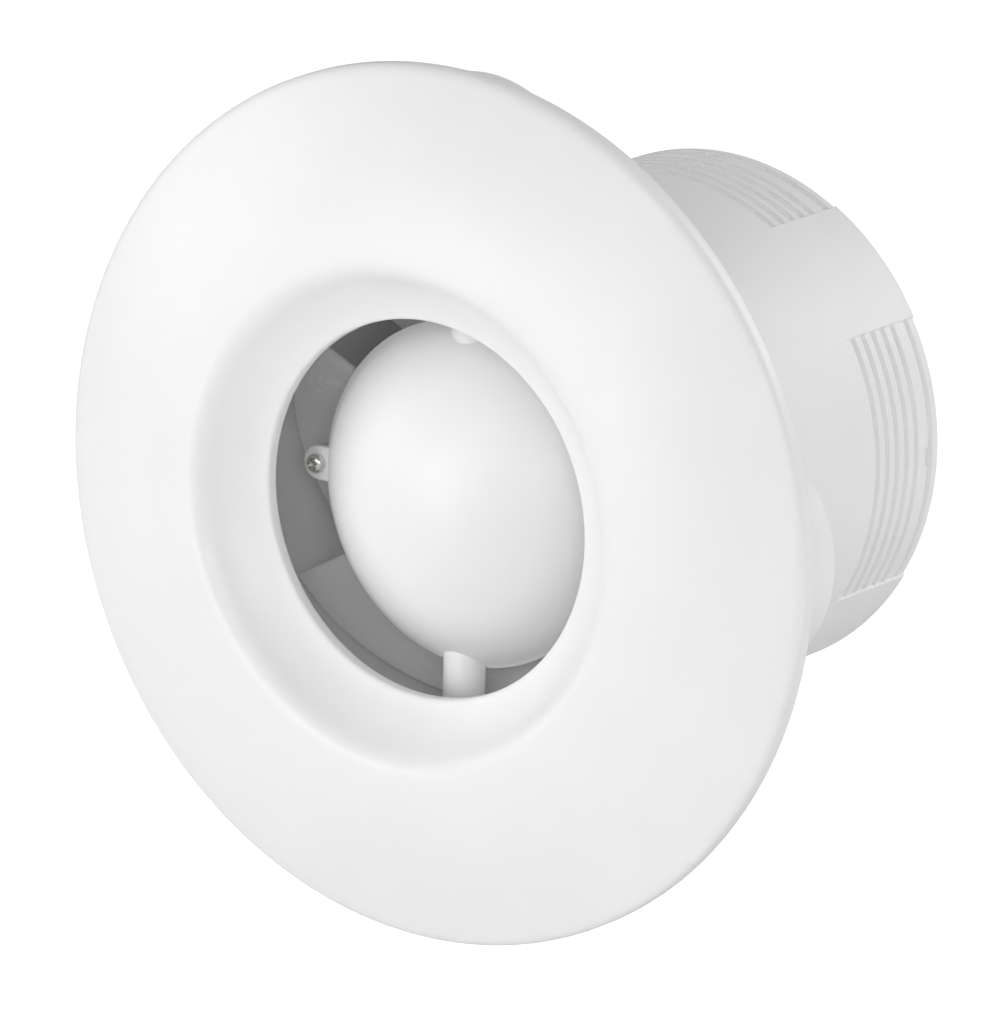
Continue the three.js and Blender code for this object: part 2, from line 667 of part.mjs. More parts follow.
// ---------------------------------------------------------------- wiring
// The block's two passages, each for a brass insert, its screw and the supply wire.
function terminalPassages(x) {
  const { front, back, high } = INSERT;
  const half = INSERT.half + FIT;
  return [
    box(x - half, x + half, front - FIT, back + FIT, BLOCK.low - 1, high + FIT),
    disc(SMALL_SCREW.head + 2 * FIT, BLOCK.front - 1, front, 16).translate(x, 0, TERMINAL_Z),
    barZ(SUPPLY_ENTRY, x, TERMINAL_Y, high - 1, BLOCK.high + 1, 12),
  ];
}

function terminalBlock() {
  const { left, right, low, high, front } = BLOCK;
  return cut(
    box(left, right, front, FLOOR_FRONT - FIT, low, high),
    ...TERMINAL_X.flatMap(terminalPassages),
    disc(BLOCK_SCREW_HOLE, front - 1, WALL, 14).translate(BLOCK_MIDDLE, 0, TERMINAL_Z),
  );
}

function terminalInsert() {
  const { half, low, high, front, back } = INSERT;
  return cut(
    box(-half, half, front, back, low, high),
    barZ(0.95, 0, TERMINAL_Y, low - 1, high + 1, 12),
    disc(SMALL_SCREW.shank + 0.05, front - 1, TERMINAL_Y, 12).translate(0, 0, TERMINAL_Z),
  );
}

function terminalCover() {
  const { left, right, low, high } = BLOCK;
  const { front, back, wall, room } = COVER;
  const grown = (by, y0, y1) => box(left - by, right + by, y0, y1, low - by, high + by);
  return cut(
    grown(room + wall, front, back),
    grown(room, front + wall, back + 1),
    disc(BLOCK_SCREW_HOLE, front - 1, back, 14).translate(BLOCK_MIDDLE, 0, TERMINAL_Z),
  );
}

function cableGrommet() {
  const { hole, flange, bore, front } = GROMMET;
  return turned([
    [bore, front],
    [flange, front],
    [flange, FLOOR_FRONT - FIT],
    [hole - FIT, FLOOR_FRONT - FIT],
    [hole - FIT, WALL - FIT],
    [bore, WALL - FIT],
  ], 16);
}

// A flat bar with two screw holes. It is drawn along X and turned to lie across the cable.
function cableClamp() {
  const { width, screw: reach, front, seat } = CLAMP;
  const body = join(
    box(-reach, reach, front, seat - FIT, -width / 2, width / 2),
    disc(width / 2, front, seat - FIT, 16).translate(-reach, 0, 0),
    disc(width / 2, front, seat - FIT, 16).translate(reach, 0, 0),
  );
  const hole = (x) => disc(SMALL_SCREW.shank + LOOSE, front - 1, seat + 1, 12).translate(x, 0, 0);
  return cut(body, hole(-reach), hole(reach));
}

// A motor lead: out of the plate, along the upper strut and into its terminal.
function lead(side, terminal) {
  const x = side * LEAD.x;
  const towards = (share) => THREE.MathUtils.lerp(x, terminal, share);
  const path = new THREE.CatmullRomCurve3([
    new THREE.Vector3(x, PLATE.front + 4, LEAD_EXIT.z - 0.4),
    new THREE.Vector3(x, PLATE.front, LEAD_EXIT.z + 0.3),
    new THREE.Vector3(x, LEAD.y + 0.2, LEAD_EXIT.z + 3.4),
    new THREE.Vector3(x, LEAD.y, STRUT.inner + 2),
    new THREE.Vector3(x, LEAD.y, STRUT.outer - 4),
    new THREE.Vector3(x, LEAD.y, STRUT.outer + 0.4),
    new THREE.Vector3(towards(0.3), LEAD.y - 0.9, STRUT.outer + 1.7),
    new THREE.Vector3(towards(0.9), TERMINAL_Y + 0.6, STRUT.outer + 2.8),
    new THREE.Vector3(terminal, TERMINAL_Y, BLOCK.low + 1),
    new THREE.Vector3(terminal, TERMINAL_Y, TERMINAL_Z - 1.6),
  ], false, "centripetal");
  return wireAlong(path, LEAD.radius, 22);
}

// ---------------------------------------------------------------- assembly
function fixedPieces() {
  return [
    piece("base_housing", baseHousing(), whitePlastic()),
    piece("motor_pod", motorPod(), whitePlastic()),
    ...["top", "bottom"].map((end, k) => {
      const way = k ? -1 : 1;
      const place = [way * EAR.screwX, EAR.front - FIT, way * EAR.screwZ];
      return piece("foot_screw_" + end, screw(MEDIUM_SCREW, 4.7), zincSteel(), place);
    }),
  ];
}

function motorPieces() {
  const lugScrew = (end, way) =>
    piece("lug_screw_" + end, screw(LUG_SCREW, 4.2), zincSteel(), [way * LUG.reach, LUG.front - FIT, 0]);
  const winding = (k) => {
    const mesh = piece("coil_" + (k + 1), coil(), copper());
    mesh.rotation.y = (k * Math.PI) / 2;
    return mesh;
  };
  return [
    piece("motor_plate", motorPlate(), zincSteel()),
    lugScrew("left", -1),
    lugScrew("right", 1),
    piece("motor_can", motorCan(), zincSteel()),
    piece("stator_core", statorCore(), laminations()),
    ...[0, 1, 2, 3].map(winding),
    piece("front_bearing", bearing(), bronze(), [0, BEARING.front, 0]),
    piece("rear_bearing", bearing(), bronze(), [0, BEARING.rear, 0]),
  ];
}

function rotorPieces() {
  return [
    piece("shaft", shaft(), zincSteel()),
    piece("rotor_core", rotorCore(), laminations()),
    piece("impeller", impeller(), lightGreyPlastic()),
    piece("impeller_clip", impellerClip(), springSteel()),
  ];
}

function wiringPieces() {
  const ends = ["live", "neutral"];
  const colours = [0x6b4226, 0x2f5fa8];
  const screwY = CLAMP.front - FIT;
  const bar = piece("cable_clamp", cableClamp(), whitePlastic(), [CLAMP.x, 0, CLAMP.z]);
  bar.rotation.y = Math.PI / 4;
  const inserts = ends.map((end, k) =>
    piece("terminal_insert_" + end, terminalInsert(), brass(), [TERMINAL_X[k], 0, 0]));
  const terminalScrews = ends.map((end, k) => {
    const place = [TERMINAL_X[k], INSERT.front - 4 * FIT, TERMINAL_Z];
    return piece("terminal_screw_" + end, screw(SMALL_SCREW, 1.5), zincSteel(), place);
  });
  const coverPlace = [BLOCK_MIDDLE, COVER.front - FIT, TERMINAL_Z];
  return [
    piece("terminal_block", terminalBlock(), creamPlastic()),
    ...inserts,
    ...terminalScrews,
    piece("terminal_cover", terminalCover(), whitePlastic()),
    piece("cover_screw", screw(SMALL_SCREW, COVER.screw), zincSteel(), coverPlace),
    piece("cable_grommet", cableGrommet(), rubber(), [GROMMET.x, 0, GROMMET.z]),
    bar,
    ...clampScrews().map(([x, z], k) =>
      piece("clamp_screw_" + ["outer", "inner"][k], screw(SMALL_SCREW, 6.4), zincSteel(), [x, screwY, z])),
    ...ends.map((end, k) => piece("lead_" + end, lead(2 * k - 1, TERMINAL_X[k]), insulation(colours[k]))),
  ];
}

function shutterPieces() {
  const sides = ["left", "right"];
  return [
    piece("shutter_frame", shutterFrame(), whitePlastic()),
    piece("hinge_pin", hingePin(), springSteel()),
    ...sides.map((name, k) => piece("flap_" + name, flap(2 * k - 1), whitePlastic())),
    ...sides.map((name, k) => piece("flap_spring_" + name, flapSpring(SPRINGS[k]), springSteel())),
  ];
}

const fan = new THREE.Group();
fan.add(
  piece("front_panel", frontPanel(), whitePlastic()),
  ...fixedPieces(),
  ...motorPieces(),
  ...rotorPieces(),
  ...wiringPieces(),
  ...shutterPieces(),
);

export default fan;
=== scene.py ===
"""A bathroom extractor fan: the fine surfaces, finishes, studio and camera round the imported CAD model.

Shapes are drawn in millimetres in the part's frame and become metres when a mesh is made.
The fan's axis is Y, the room is towards -Y, the duct towards +Y and +Z is up.
"""

import json
import math
from types import SimpleNamespace as Sizes

import bmesh
import bpy
import numpy as np
from mathutils import Matrix, Vector

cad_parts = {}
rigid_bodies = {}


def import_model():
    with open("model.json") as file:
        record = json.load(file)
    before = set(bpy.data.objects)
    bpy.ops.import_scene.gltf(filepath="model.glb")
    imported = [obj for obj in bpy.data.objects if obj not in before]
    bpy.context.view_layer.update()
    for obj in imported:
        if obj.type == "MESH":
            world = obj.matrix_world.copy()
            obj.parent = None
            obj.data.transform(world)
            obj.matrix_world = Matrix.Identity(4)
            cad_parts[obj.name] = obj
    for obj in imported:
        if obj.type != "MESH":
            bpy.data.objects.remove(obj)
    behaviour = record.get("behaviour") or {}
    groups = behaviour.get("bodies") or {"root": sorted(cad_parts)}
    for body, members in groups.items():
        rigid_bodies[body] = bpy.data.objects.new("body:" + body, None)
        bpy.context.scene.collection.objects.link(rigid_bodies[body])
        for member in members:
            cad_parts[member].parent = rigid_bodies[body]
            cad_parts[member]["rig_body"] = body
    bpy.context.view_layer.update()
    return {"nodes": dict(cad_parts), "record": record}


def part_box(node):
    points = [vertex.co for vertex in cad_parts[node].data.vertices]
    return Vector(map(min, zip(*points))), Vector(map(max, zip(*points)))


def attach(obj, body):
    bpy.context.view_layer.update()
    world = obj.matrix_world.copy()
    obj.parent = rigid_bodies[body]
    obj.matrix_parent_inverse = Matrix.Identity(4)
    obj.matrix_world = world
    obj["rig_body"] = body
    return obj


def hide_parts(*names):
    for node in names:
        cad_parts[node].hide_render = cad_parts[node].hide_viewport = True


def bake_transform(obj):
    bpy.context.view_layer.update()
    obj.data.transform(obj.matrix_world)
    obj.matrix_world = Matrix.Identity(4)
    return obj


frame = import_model()

MM = 0.001
TAU = 2 * math.pi
SHARP = math.radians(32)  # edges that turn more than this stay crisp
AXIS = 0.01  # mm; solid turned profiles end this close to their axis


# ---- measuring the frame
def corners(node):
    """Lowest and highest corner of a CAD node, in mm."""
    low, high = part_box(node)
    return low / MM, high / MM


def points(node):
    """The corners of a CAD node's mesh, in mm, as rows of x, y, z."""
    mesh = frame["nodes"][node].data
    flat = np.zeros(len(mesh.vertices) * 3, np.float32)
    mesh.vertices.foreach_get("co", flat)
    return flat.reshape(-1, 3).astype(float) / MM


def radii(places, x=0.0, z=0.0):
    """Distance of each place from a line along Y through x, z."""
    return np.hypot(places[:, 0] - x, places[:, 2] - z)


def mount_y(name):
    """Place of a mount along the fan's axis, in mm."""
    mount = next(m for m in frame["record"]["mounts"] if m["name"] == name)
    return mount["pos_m"][1] / MM


panel_points = points("front_panel")
panel_radii = radii(panel_points)
PANEL_R = panel_radii.max()
THROAT_R = panel_radii.min()
PANEL_FRONT = panel_points[:, 1].min()
PANEL_BACK = panel_points[panel_radii > PANEL_R - 0.1][:, 1].max()
THROAT_BACK = panel_points[panel_radii < THROAT_R + 0.1][:, 1].max()
RIDGE_R = panel_radii[panel_points[:, 1] < PANEL_FRONT + 0.01].max()
PEG_END = panel_points[:, 1].max()
PEG_REACH = (panel_radii[panel_points[:, 1] > PEG_END - 0.1]).mean()

WALL = mount_y("wall_face")
SPIGOT_END = mount_y("spigot_end")
base_points = points("base_housing")
base_radii = radii(base_points)
BASE_FRONT = base_points[:, 1].min()
DUCT_R = base_radii.min()
PAD_R = base_radii[base_points[:, 1] > WALL + 5].max()
BASE_REACH = base_radii.max()

POD_LOW = corners("motor_pod")[0]
CLIP_GAP = 1.1  # between the hub's face and its clip
HUB_BACK = corners("impeller_clip")[0].y - CLIP_GAP
SHAFT_R = corners("shaft")[1].x
SHUTTER_LOW = corners("shutter_frame")[0]
PIN_LOW, PIN_HIGH = corners("hinge_pin")
PIN_Y = (PIN_LOW.y + PIN_HIGH.y) / 2
PIN_R = (PIN_HIGH.y - PIN_LOW.y) / 2

# Thicknesses and fine shapes, in mm.
PANEL_WALL = 2.0
SKIN = 2.0
FLOOR_FRONT = WALL - 2.5
BASE_CORNER_R = 24.0
PEG = Sizes(radius=2.5, shoulder=3.6, stop=-35.6)
SOCKET = Sizes(outer=4.2, bore=2.9, front=-35.5, end=-27.8)
PATCH = Sizes(angle=math.pi / 3, front=28.3, rib=49.0, groove=48.0)
GROOVES = [30.8 + 3.2 * k for k in range(5)] + [48.2]
GROOVE_WIDTH = 1.2
WINDOW = Sizes(y=47.1, across=3.2, along=1.2)
DOME = Sizes(radius=32.2, back=-28.0, wall=1.6)
STRUT = Sizes(radius=4.8, front=-32.0, inner=26.0, outer=57.5)
CHANNEL = Sizes(radius=3.5, inner=22.0)
EAR = Sizes(front=-31.4, radius=4.2, hole=1.6, x=8.6, z=53.2)
LUG = Sizes(reach=33.6, radius=3.2, hole=1.5, front=-29.3, back=-27.7)
PLATE = Sizes(front=-27.6, back=-26.4, radius=27.0, ear=6.4)
HUB = Sizes(radius=29.0, wall=1.8, front=-23.4)
PLATE_VENT = Sizes(x=5.3, z=18.6, radius=1.8)
LEAD_EXIT = Sizes(z=21.0, radius=2.8)
BEARING_SEAT = 5.05  # radius of the seats in the plate and in the can
BLADE = Sizes(
    root=28.3, tip=46.0, front=-24.6, depth=20.0, sweep=1.02,
    thick=2.0, thin=1.6, lean=2.3, nose=0.02, tail=0.03,
)
BLADES = 6
LEDGE = Sizes(outer=46.7, inner=44.8, ledge=42.4, seat=44.7, back=50.5)
FLAP = Sizes(radius=43.8, front=44.9, back=45.9, gap=0.4, knuckle=2.1, clear=2.6, rib=0.6)
KNUCKLES = {"left": [(-38, -30), (8, 16)], "right": [(-16, -8), (30, 38)]}
SPRINGS = {"left": (19, 24), "right": (-24, -19)}
SPRING = Sizes(mean=1.75, wire=0.28, turns=4, leg=11.0, drop=0.65)
BLOCK = Sizes(left=-4.0, right=12.0, low=61.5, high=69.5, front=-38.0, screw=1.35)
TERMINALS = {"live": 0.0, "neutral": 8.0}
TERMINAL = Sizes(y=-33.4, z=65.5, middle=4.0)
COVER = Sizes(front=-40.4, back=-36.9, wall=1.1, room=0.2)
CLAMP = Sizes(x=-11.0, z=61.0, screw=4.8, width=4.0, seat=-31.4, front=-33.4, post=2.2)
GROMMET = Sizes(x=-18.0, z=56.0, hole=4.4, bore=3.2)
WALL_HOLE = Sizes(reach=67.0, radius=2.3)
PILOT = Sizes(small=1.2, medium=1.55)  # screw holes in the base
LEAD = Sizes(radius=0.7, x=1.1, y=-29.5)
FIT = 0.1


# ---- mesh building
def link(name, mesh):
    made = bpy.data.objects.new(name, mesh)
    bpy.context.scene.collection.objects.link(made)
    return made


def loft(rings, ends="caps", name="solid"):
    """A closed surface through rings of points; its ends are capped, or joined to each other."""
    rings = np.asarray(rings, float)
    count, around = rings.shape[:2]
    row = np.arange(count if ends == "loop" else count - 1)[:, None]
    step = np.arange(around)[None, :]
    after, beyond = (step + 1) % around, (row + 1) % count
    quads = [row * around + step, row * around + after, beyond * around + after, beyond * around + step]
    faces = np.stack(quads, -1).reshape(-1, 4).tolist()
    if ends == "caps":
        faces.append(list(range(around))[::-1])
        faces.append([(count - 1) * around + k for k in range(around)])
    mesh = bpy.data.meshes.new(name)
    mesh.from_pydata((rings.reshape(-1, 3) * MM).tolist(), [], faces)
    shape = bmesh.new()
    shape.from_mesh(mesh)
    bmesh.ops.recalc_face_normals(shape, faces=shape.faces)
    if shape.calc_volume(signed=True) < 0:
        bmesh.ops.reverse_faces(shape, faces=shape.faces)
    shape.to_mesh(mesh)
    shape.free()
    return link(name, mesh)


def combine(target, operation, *tools):
    """Joins to the target, or cuts from it, other closed solids, which are used up."""
    for tool in tools:
        modifier = target.modifiers.new(operation, "BOOLEAN")
        modifier.operation = operation
        modifier.solver = "MANIFOLD"
        modifier.object = tool
    evaluated = target.evaluated_get(bpy.context.evaluated_depsgraph_get())
    mesh = bpy.data.meshes.new_from_object(evaluated)
    target.modifiers.clear()
    target.data = mesh
    for tool in tools:
        bpy.data.objects.remove(tool)
    return target


def join(target, *tools):
    return combine(target, "UNION", *tools)


def cut(target, *tools):
    return combine(target, "DIFFERENCE", *tools)


def moved(made, x=0.0, y=0.0, z=0.0, turn=0.0):
    """Turns a solid about the Y axis, then moves it."""
    c, s = math.cos(turn), math.sin(turn)
    flat = np.zeros(len(made.data.vertices) * 3, np.float32)
    made.data.vertices.foreach_get("co", flat)
    place = flat.reshape(-1, 3) / MM
    turned_x = place[:, 0] * c + place[:, 2] * s + x
    turned_z = -place[:, 0] * s + place[:, 2] * c + z
    place = columns(turned_x, place[:, 1] + y, turned_z) * MM
    made.data.vertices.foreach_set("co", place.astype(np.float32).ravel())
    made.data.update()
    return made


def copies(make, count=4, start=math.pi / 4):
    """Solids from make(angle) at equal angles, measured from +X towards +Z."""
    return [make(start + k * TAU / count) for k in range(count)]


def smooth_step(value, start, end):
    share = np.clip((np.asarray(value, float) - start) / (end - start), 0, 1)
    return share * share * (3 - 2 * share)


# ---- lines and outlines
def bezier(a, b, c, d, steps):
    """Points after a, up to and with d, on a cubic curve."""
    t = np.linspace(0, 1, steps + 1)[1:, None]
    a, b, c, d = (np.array(p, float) for p in (a, b, c, d))
    return a * (1 - t) ** 3 + 3 * b * t * (1 - t) ** 2 + 3 * c * t * t * (1 - t) + d * t**3


def rounded(line, steps=4, closed=True):
    """A line of (x, y, radius) corners as points, each corner rounded to its radius."""
    made = []
    count = len(line)
    for k, (x, y, radius) in enumerate(line):
        here = np.array([x, y], float)
        if radius <= 0 or (not closed and k in (0, count - 1)):
            made.append(here)
            continue
        before = np.array(line[k - 1][:2], float) - here
        after = np.array(line[(k + 1) % count][:2], float) - here
        u, v = before / np.linalg.norm(before), after / np.linalg.norm(after)
        half = math.acos(np.clip(u @ v, -1, 1)) / 2
        back = radius / math.tan(half)
        middle = here + (u + v) / np.linalg.norm(u + v) * radius / math.sin(half)
        first, last = here + u * back - middle, here + v * back - middle
        swing = math.pi - 2 * half
        for t in np.linspace(0, 1, steps + 1):
            arc = math.sin((1 - t) * swing) * first + math.sin(t * swing) * last
            made.append(middle + arc / math.sin(swing))
    return np.array(made)


def columns(*values):
    """Numbers or arrays side by side, along a new last axis."""
    return np.stack(np.broadcast_arrays(*values), -1)


def full_turn(segments):
    return np.arange(segments) * TAU / segments


def around(radius, y, angle):
    """Places at a distance from the Y axis, at an angle from +Z towards +X."""
    return columns(radius * np.sin(angle), y, radius * np.cos(angle))


def turned(profile, segments=64, ends="loop"):
    """A solid of revolution about the Y axis from (radius, y) points."""
    profile = np.asarray(profile, float)
    return loft(around(profile[:, :1], profile[:, 1:2], full_turn(segments)), ends)


def spindle(corner_list, segments=32, steps=4):
    """A turned solid from an open profile that starts and ends on the axis."""
    return turned(rounded(corner_list, steps, closed=False), segments, "caps")


def ring(corner_list, segments=64, steps=4):
    """A turned ring whose closed profile has rounded corners."""
    return turned(rounded(corner_list, steps), segments)


def flat_ring(inner, outer, y0, y1, soft_in, soft_out, segments, steps=4):
    """A ring with a plain rectangular section."""
    section = [(inner, y0, soft_in), (outer, y0, soft_out), (outer, y1, soft_out), (inner, y1, soft_in)]
    return ring(section, segments, steps)


def bar_corners(radius, start, end, soft0, soft1):
    """Half the section of a round bar, from one end's middle to the other's."""
    return [(AXIS, start, 0), (radius, start, soft0), (radius, end, soft1), (AXIS, end, 0)]


def rod(radius, y0, y1, x=0.0, z=0.0, soft=0.0):
    """A round bar along Y with softened ends."""
    return moved(spindle(bar_corners(radius, y0, y1, soft, soft)), x, 0, z)


def rod_z(radius, x, y, z0, z1, segments=32, soft=0.0):
    """A round bar along Z with softened ends."""
    profile = rounded(bar_corners(radius, z0, z1, soft, soft), 4, closed=False)
    angle = full_turn(segments)
    r, z = profile[:, :1], profile[:, 1:2]
    return loft(columns(x + r * np.cos(angle), y + r * np.sin(angle), z))


def rectangle(x0, x1, z0, z1, radius, steps=5):
    """The outline of a rectangle with round corners, as a function of its inset."""
    def outline(inset):
        r = max(radius - inset, 0.02)
        spots = [(x1, z1, 0), (x0, z1, 1), (x0, z0, 2), (x1, z0, 3)]
        made = []
        for x, z, quarter in spots:
            middle_x = x - math.copysign(inset + r, x - (x0 + x1) / 2)
            middle_z = z - math.copysign(inset + r, z - (z0 + z1) / 2)
            angle = (quarter + np.linspace(0, 1, steps + 1)) * math.pi / 2
            made.append(columns(middle_x + r * np.cos(angle), middle_z + r * np.sin(angle)))
        return np.concatenate(made)
    return outline


def circle(radius, x=0.0, z=0.0, segments=32):
    angle = full_turn(segments)
    unit = columns(np.cos(angle), np.sin(angle))
    return lambda inset: np.array([x, z]) + (radius - inset) * unit


def base_outline(inset, steps=16):
    """The base's rounded square, its corners up, down, left and right."""
    middle = BASE_REACH - BASE_CORNER_R
    r = BASE_CORNER_R - inset
    made = []
    for quarter in range(4):
        centre = quarter * math.pi / 2
        angle = centre + np.linspace(-1, 1, steps + 1) * math.pi / 4
        x = middle * math.cos(centre) + r * np.cos(angle)
        z = middle * math.sin(centre) + r * np.sin(angle)
        made.append(columns(x, z))
    return np.concatenate(made)


def prism(outline, y0, y1, soft0=0.0, soft1=0.0, steps=4):
    """A solid along Y from an outline given as a function of its inset, with rounded end edges."""
    turn = np.linspace(0, 1, steps + 1) * math.pi / 2
    def end(y, soft):
        """The (y, inset) stations of one end's edge, whose material is on the side of soft's sign."""
        if soft == 0:
            return [(y, 0.0)]
        return [(y + soft * (1 - math.sin(t)), abs(soft) * (1 - math.cos(t))) for t in turn]
    rings = []
    for y, inset in end(y0, soft0)[::-1] + end(y1, -soft1):
        flat = outline(inset)
        rings.append(columns(flat[:, 0], y, flat[:, 1]))
    return loft(rings)


def block(x0, x1, y0, y1, z0, z1, corner=0.0, soft=0.0):
    """A box with round corners seen along Y, and softened ends."""
    return prism(rectangle(x0, x1, z0, z1, max(corner, 0.02)), y0, y1, soft, soft)


def sweep(path, radius, sides=12):
    """A round wire along a path, with rounded ends."""
    path = np.asarray(path, float)
    tangent = np.gradient(path, axis=0)
    tangent /= np.linalg.norm(tangent, axis=1)[:, None]
    across = np.cross(tangent[0], [0.3, 0.2, 0.93])
    rings = []
    angle = full_turn(sides)
    for k, (place, ahead) in enumerate(zip(path, tangent)):
        across = across - (across @ ahead) * ahead
        across /= np.linalg.norm(across)
        other = np.cross(ahead, across)
        circle_points = np.cos(angle)[:, None] * across + np.sin(angle)[:, None] * other
        ends = [(0.0, 0.35), (0.75, 0.75)] if k == 0 else [(1.0, 1.0)]
        if k == len(path) - 1:
            ends = [(0.75, 0.75), (0.0, 0.35)]
        for along, wide in ends:
            back = (along - 1) * radius if k == 0 else (1 - along) * radius
            offset = back if k in (0, len(path) - 1) else 0.0
            rings.append(place + ahead * offset + circle_points * radius * wide)
    return loft(rings)


def spline(knots, steps):
    """A smooth path through the knots."""
    knots = np.asarray(knots, float)
    padded = np.vstack([2 * knots[0] - knots[1], knots, 2 * knots[-1] - knots[-2]])
    made = []
    for k in range(len(knots) - 1):
        p0, p1, p2, p3 = padded[k:k + 4]
        for t in np.arange(steps) / steps:
            square = (2 * p0 - 5 * p1 + 4 * p2 - p3) * t**2
            cube = (3 * p1 - p0 - 3 * p2 + p3) * t**3
            made.append(0.5 * (2 * p1 + (p2 - p0) * t + square + cube))
    made.append(knots[-1])
    return np.array(made)


# ---- materials
PLASTIC_IOR = 1.46
FLOOR_GLOW = 0.85


class Finish:
    """A node material that starts as one Principled shader; its methods add detail in mm units."""

    def __init__(self, name, roughness=0.4, metallic=0.0):
        self.material = bpy.data.materials.new(name)
        self.material.use_nodes = True
        self.nodes = self.material.node_tree.nodes
        self.shader = self.nodes["Principled BSDF"]
        self.feed(self.shader, Roughness=roughness, Metallic=metallic, IOR=PLASTIC_IOR)
        self.place = self.nodes.new("ShaderNodeTexCoord").outputs["Object"]
        self.normal = None

    def feed(self, node, **values):
        """Sets or links a node's inputs; an underscore stands for the space in an input's name."""
        for name, value in values.items():
            socket = node.inputs[name.replace("_", " ")]
            if isinstance(value, bpy.types.NodeSocket):
                self.material.node_tree.links.new(value, socket)
            else:
                socket.default_value = value

    def add(self, kind, output, settings=None, **values):
        """One output of a new node."""
        node = self.nodes.new("ShaderNode" + kind)
        for name, value in (settings or {}).items():
            setattr(node, name, value)
        self.feed(node, **values)
        return node.outputs[output]

    def scaled(self, per_mm, stretch=(1, 1, 1)):
        """Places multiplied by a factor for each mm, and by a stretch along each axis."""
        scale = [per_mm * share / MM for share in stretch]
        return self.add("Mapping", "Vector", Vector=self.place, Scale=scale)

    def noise(self, per_mm, detail=3.0, roughness=0.55, stretch=(1, 1, 1)):
        place = self.scaled(per_mm, stretch)
        return self.add("TexNoise", "Fac", Vector=place, Scale=1.0, Detail=detail, Roughness=roughness)

    def layers(self, per_mm):
        """Bands stacked along the fan's axis."""
        place = self.scaled(per_mm)
        return self.add("TexWave", "Fac", {"bands_direction": "Y"}, Vector=place, Scale=1.0)

    def speckle(self, per_mm):
        return self.add("TexVoronoi", "Distance", Vector=self.scaled(per_mm), Scale=1.0)

    def over(self, factor, below, above):
        """One colour laid over another where the factor is high."""
        return self.add("Mix", "Result", {"data_type": "RGBA"}, Factor=factor, A=below, B=above)

    def ramp(self, factor, low, high, start=0.3, end=0.7):
        """A value or a colour that goes from low to high as the factor goes from start to end."""
        if isinstance(low, tuple):
            return self.over(self.ramp(factor, 0.0, 1.0, start, end), (*low, 1), (*high, 1))
        return self.add("MapRange", "Result", Value=factor, From_Min=start, From_Max=end,
                        To_Min=low, To_Max=high)

    def turn_normal(self, normal):
        self.normal = normal
        self.feed(self.shader, Normal=normal)

    def bump(self, height, depth_mm, strength=1.0):
        below = {} if self.normal is None else {"Normal": self.normal}
        self.turn_normal(self.add("Bump", "Normal", Height=height, Distance=depth_mm * MM,
                                  Strength=strength, **below))

    def soften(self, radius_mm):
        """Rounds the look of edges that the mesh leaves crisp."""
        self.turn_normal(self.add("Bevel", "Normal", {"samples": 4}, Radius=radius_mm * MM))

    def paint(self, output, channel="Base Color"):
        self.feed(self.shader, **{channel: output})


def moulded(name, shade, roughness, grain=0.012, edge=0.25, painted_glow=0.0):
    """Injection-moulded plastic with a fine grain, faint flow clouds and an uneven sheen.

    The glow is painted light: an even emission that brightens the shaded part as though light reached
    it, though the part is no lamp."""
    finish = Finish(name, roughness)
    # painted light: the emission lifts plastic that lies in shade
    finish.feed(finish.shader, Emission_Color=(1, 1, 1, 1), Emission_Strength=painted_glow)
    clouds = finish.noise(0.035, 4.0)
    finish.paint(finish.ramp(clouds, tuple(0.975 * c for c in shade), shade, 0.35, 0.65))
    sheen = finish.noise(0.12, 5.0, 0.6)
    finish.paint(finish.ramp(sheen, roughness - 0.04, roughness + 0.06), "Roughness")
    finish.soften(edge)
    finish.bump(finish.noise(0.05, 2.0), 0.02, 0.5)
    finish.bump(finish.noise(4.5, 2.0), grain, 0.6)
    return finish.material


def plated(name, shade, tint, roughness=0.3):
    """Bright zinc plate: a mottled tint over a rolled, lightly scratched sheet."""
    finish = Finish(name, roughness, 1.0)
    finish.paint(finish.ramp(finish.noise(0.25, 4.0), shade, tint))
    scratches = finish.noise(1.2, 6.0, 0.7, (1, 1, 9))
    finish.paint(finish.ramp(scratches, roughness - 0.08, roughness + 0.14), "Roughness")
    finish.soften(0.12)
    finish.bump(scratches, 0.006, 0.7)
    return finish.material


def wire_enamel():
    """Enamelled copper, darker and redder in places."""
    finish = Finish("copper_enamel", 0.28, 0.9)
    finish.paint(finish.ramp(finish.noise(0.6, 4.0), (0.42, 0.12, 0.035), (0.62, 0.22, 0.07)))
    finish.bump(finish.noise(5.0, 2.0), 0.01)
    finish.feed(finish.shader, Coat_Weight=0.6, Coat_Roughness=0.12)
    return finish.material


def sheet_stack():
    """Punched steel sheets, half a millimetre each, stacked along the motor's axis."""
    finish = Finish("steel_laminations", 0.45, 0.9)
    layers = finish.layers(0.31)
    rust = finish.ramp(finish.noise(0.7, 5.0), (0.16, 0.165, 0.175), (0.27, 0.25, 0.235))
    dark = finish.ramp(layers, (0.05, 0.05, 0.055), (0.3, 0.3, 0.31), 0.05, 0.35)
    finish.paint(finish.over(finish.ramp(layers, 0.0, 0.8, 0.1, 0.4), dark, rust))
    finish.bump(layers, 0.05, 0.8)
    return finish.material


def sintered_bronze():
    """Porous bearing bronze, dark with oil in its pores."""
    finish = Finish("sintered_bronze", 0.5, 0.95)
    pores = finish.speckle(3.5)
    finish.paint(finish.ramp(pores, (0.10, 0.06, 0.03), (0.45, 0.29, 0.13), 0.05, 0.4))
    finish.bump(pores, 0.02, 0.8)
    return finish.material


def turned_brass():
    finish = Finish("turned_brass", 0.3, 1.0)
    rings = finish.noise(0.9, 5.0, 0.6, (6, 1, 1))
    finish.paint(finish.ramp(rings, (0.55, 0.38, 0.12), (0.74, 0.55, 0.22)))
    finish.paint(finish.ramp(rings, 0.22, 0.42), "Roughness")
    finish.soften(0.1)
    finish.bump(rings, 0.008)
    return finish.material


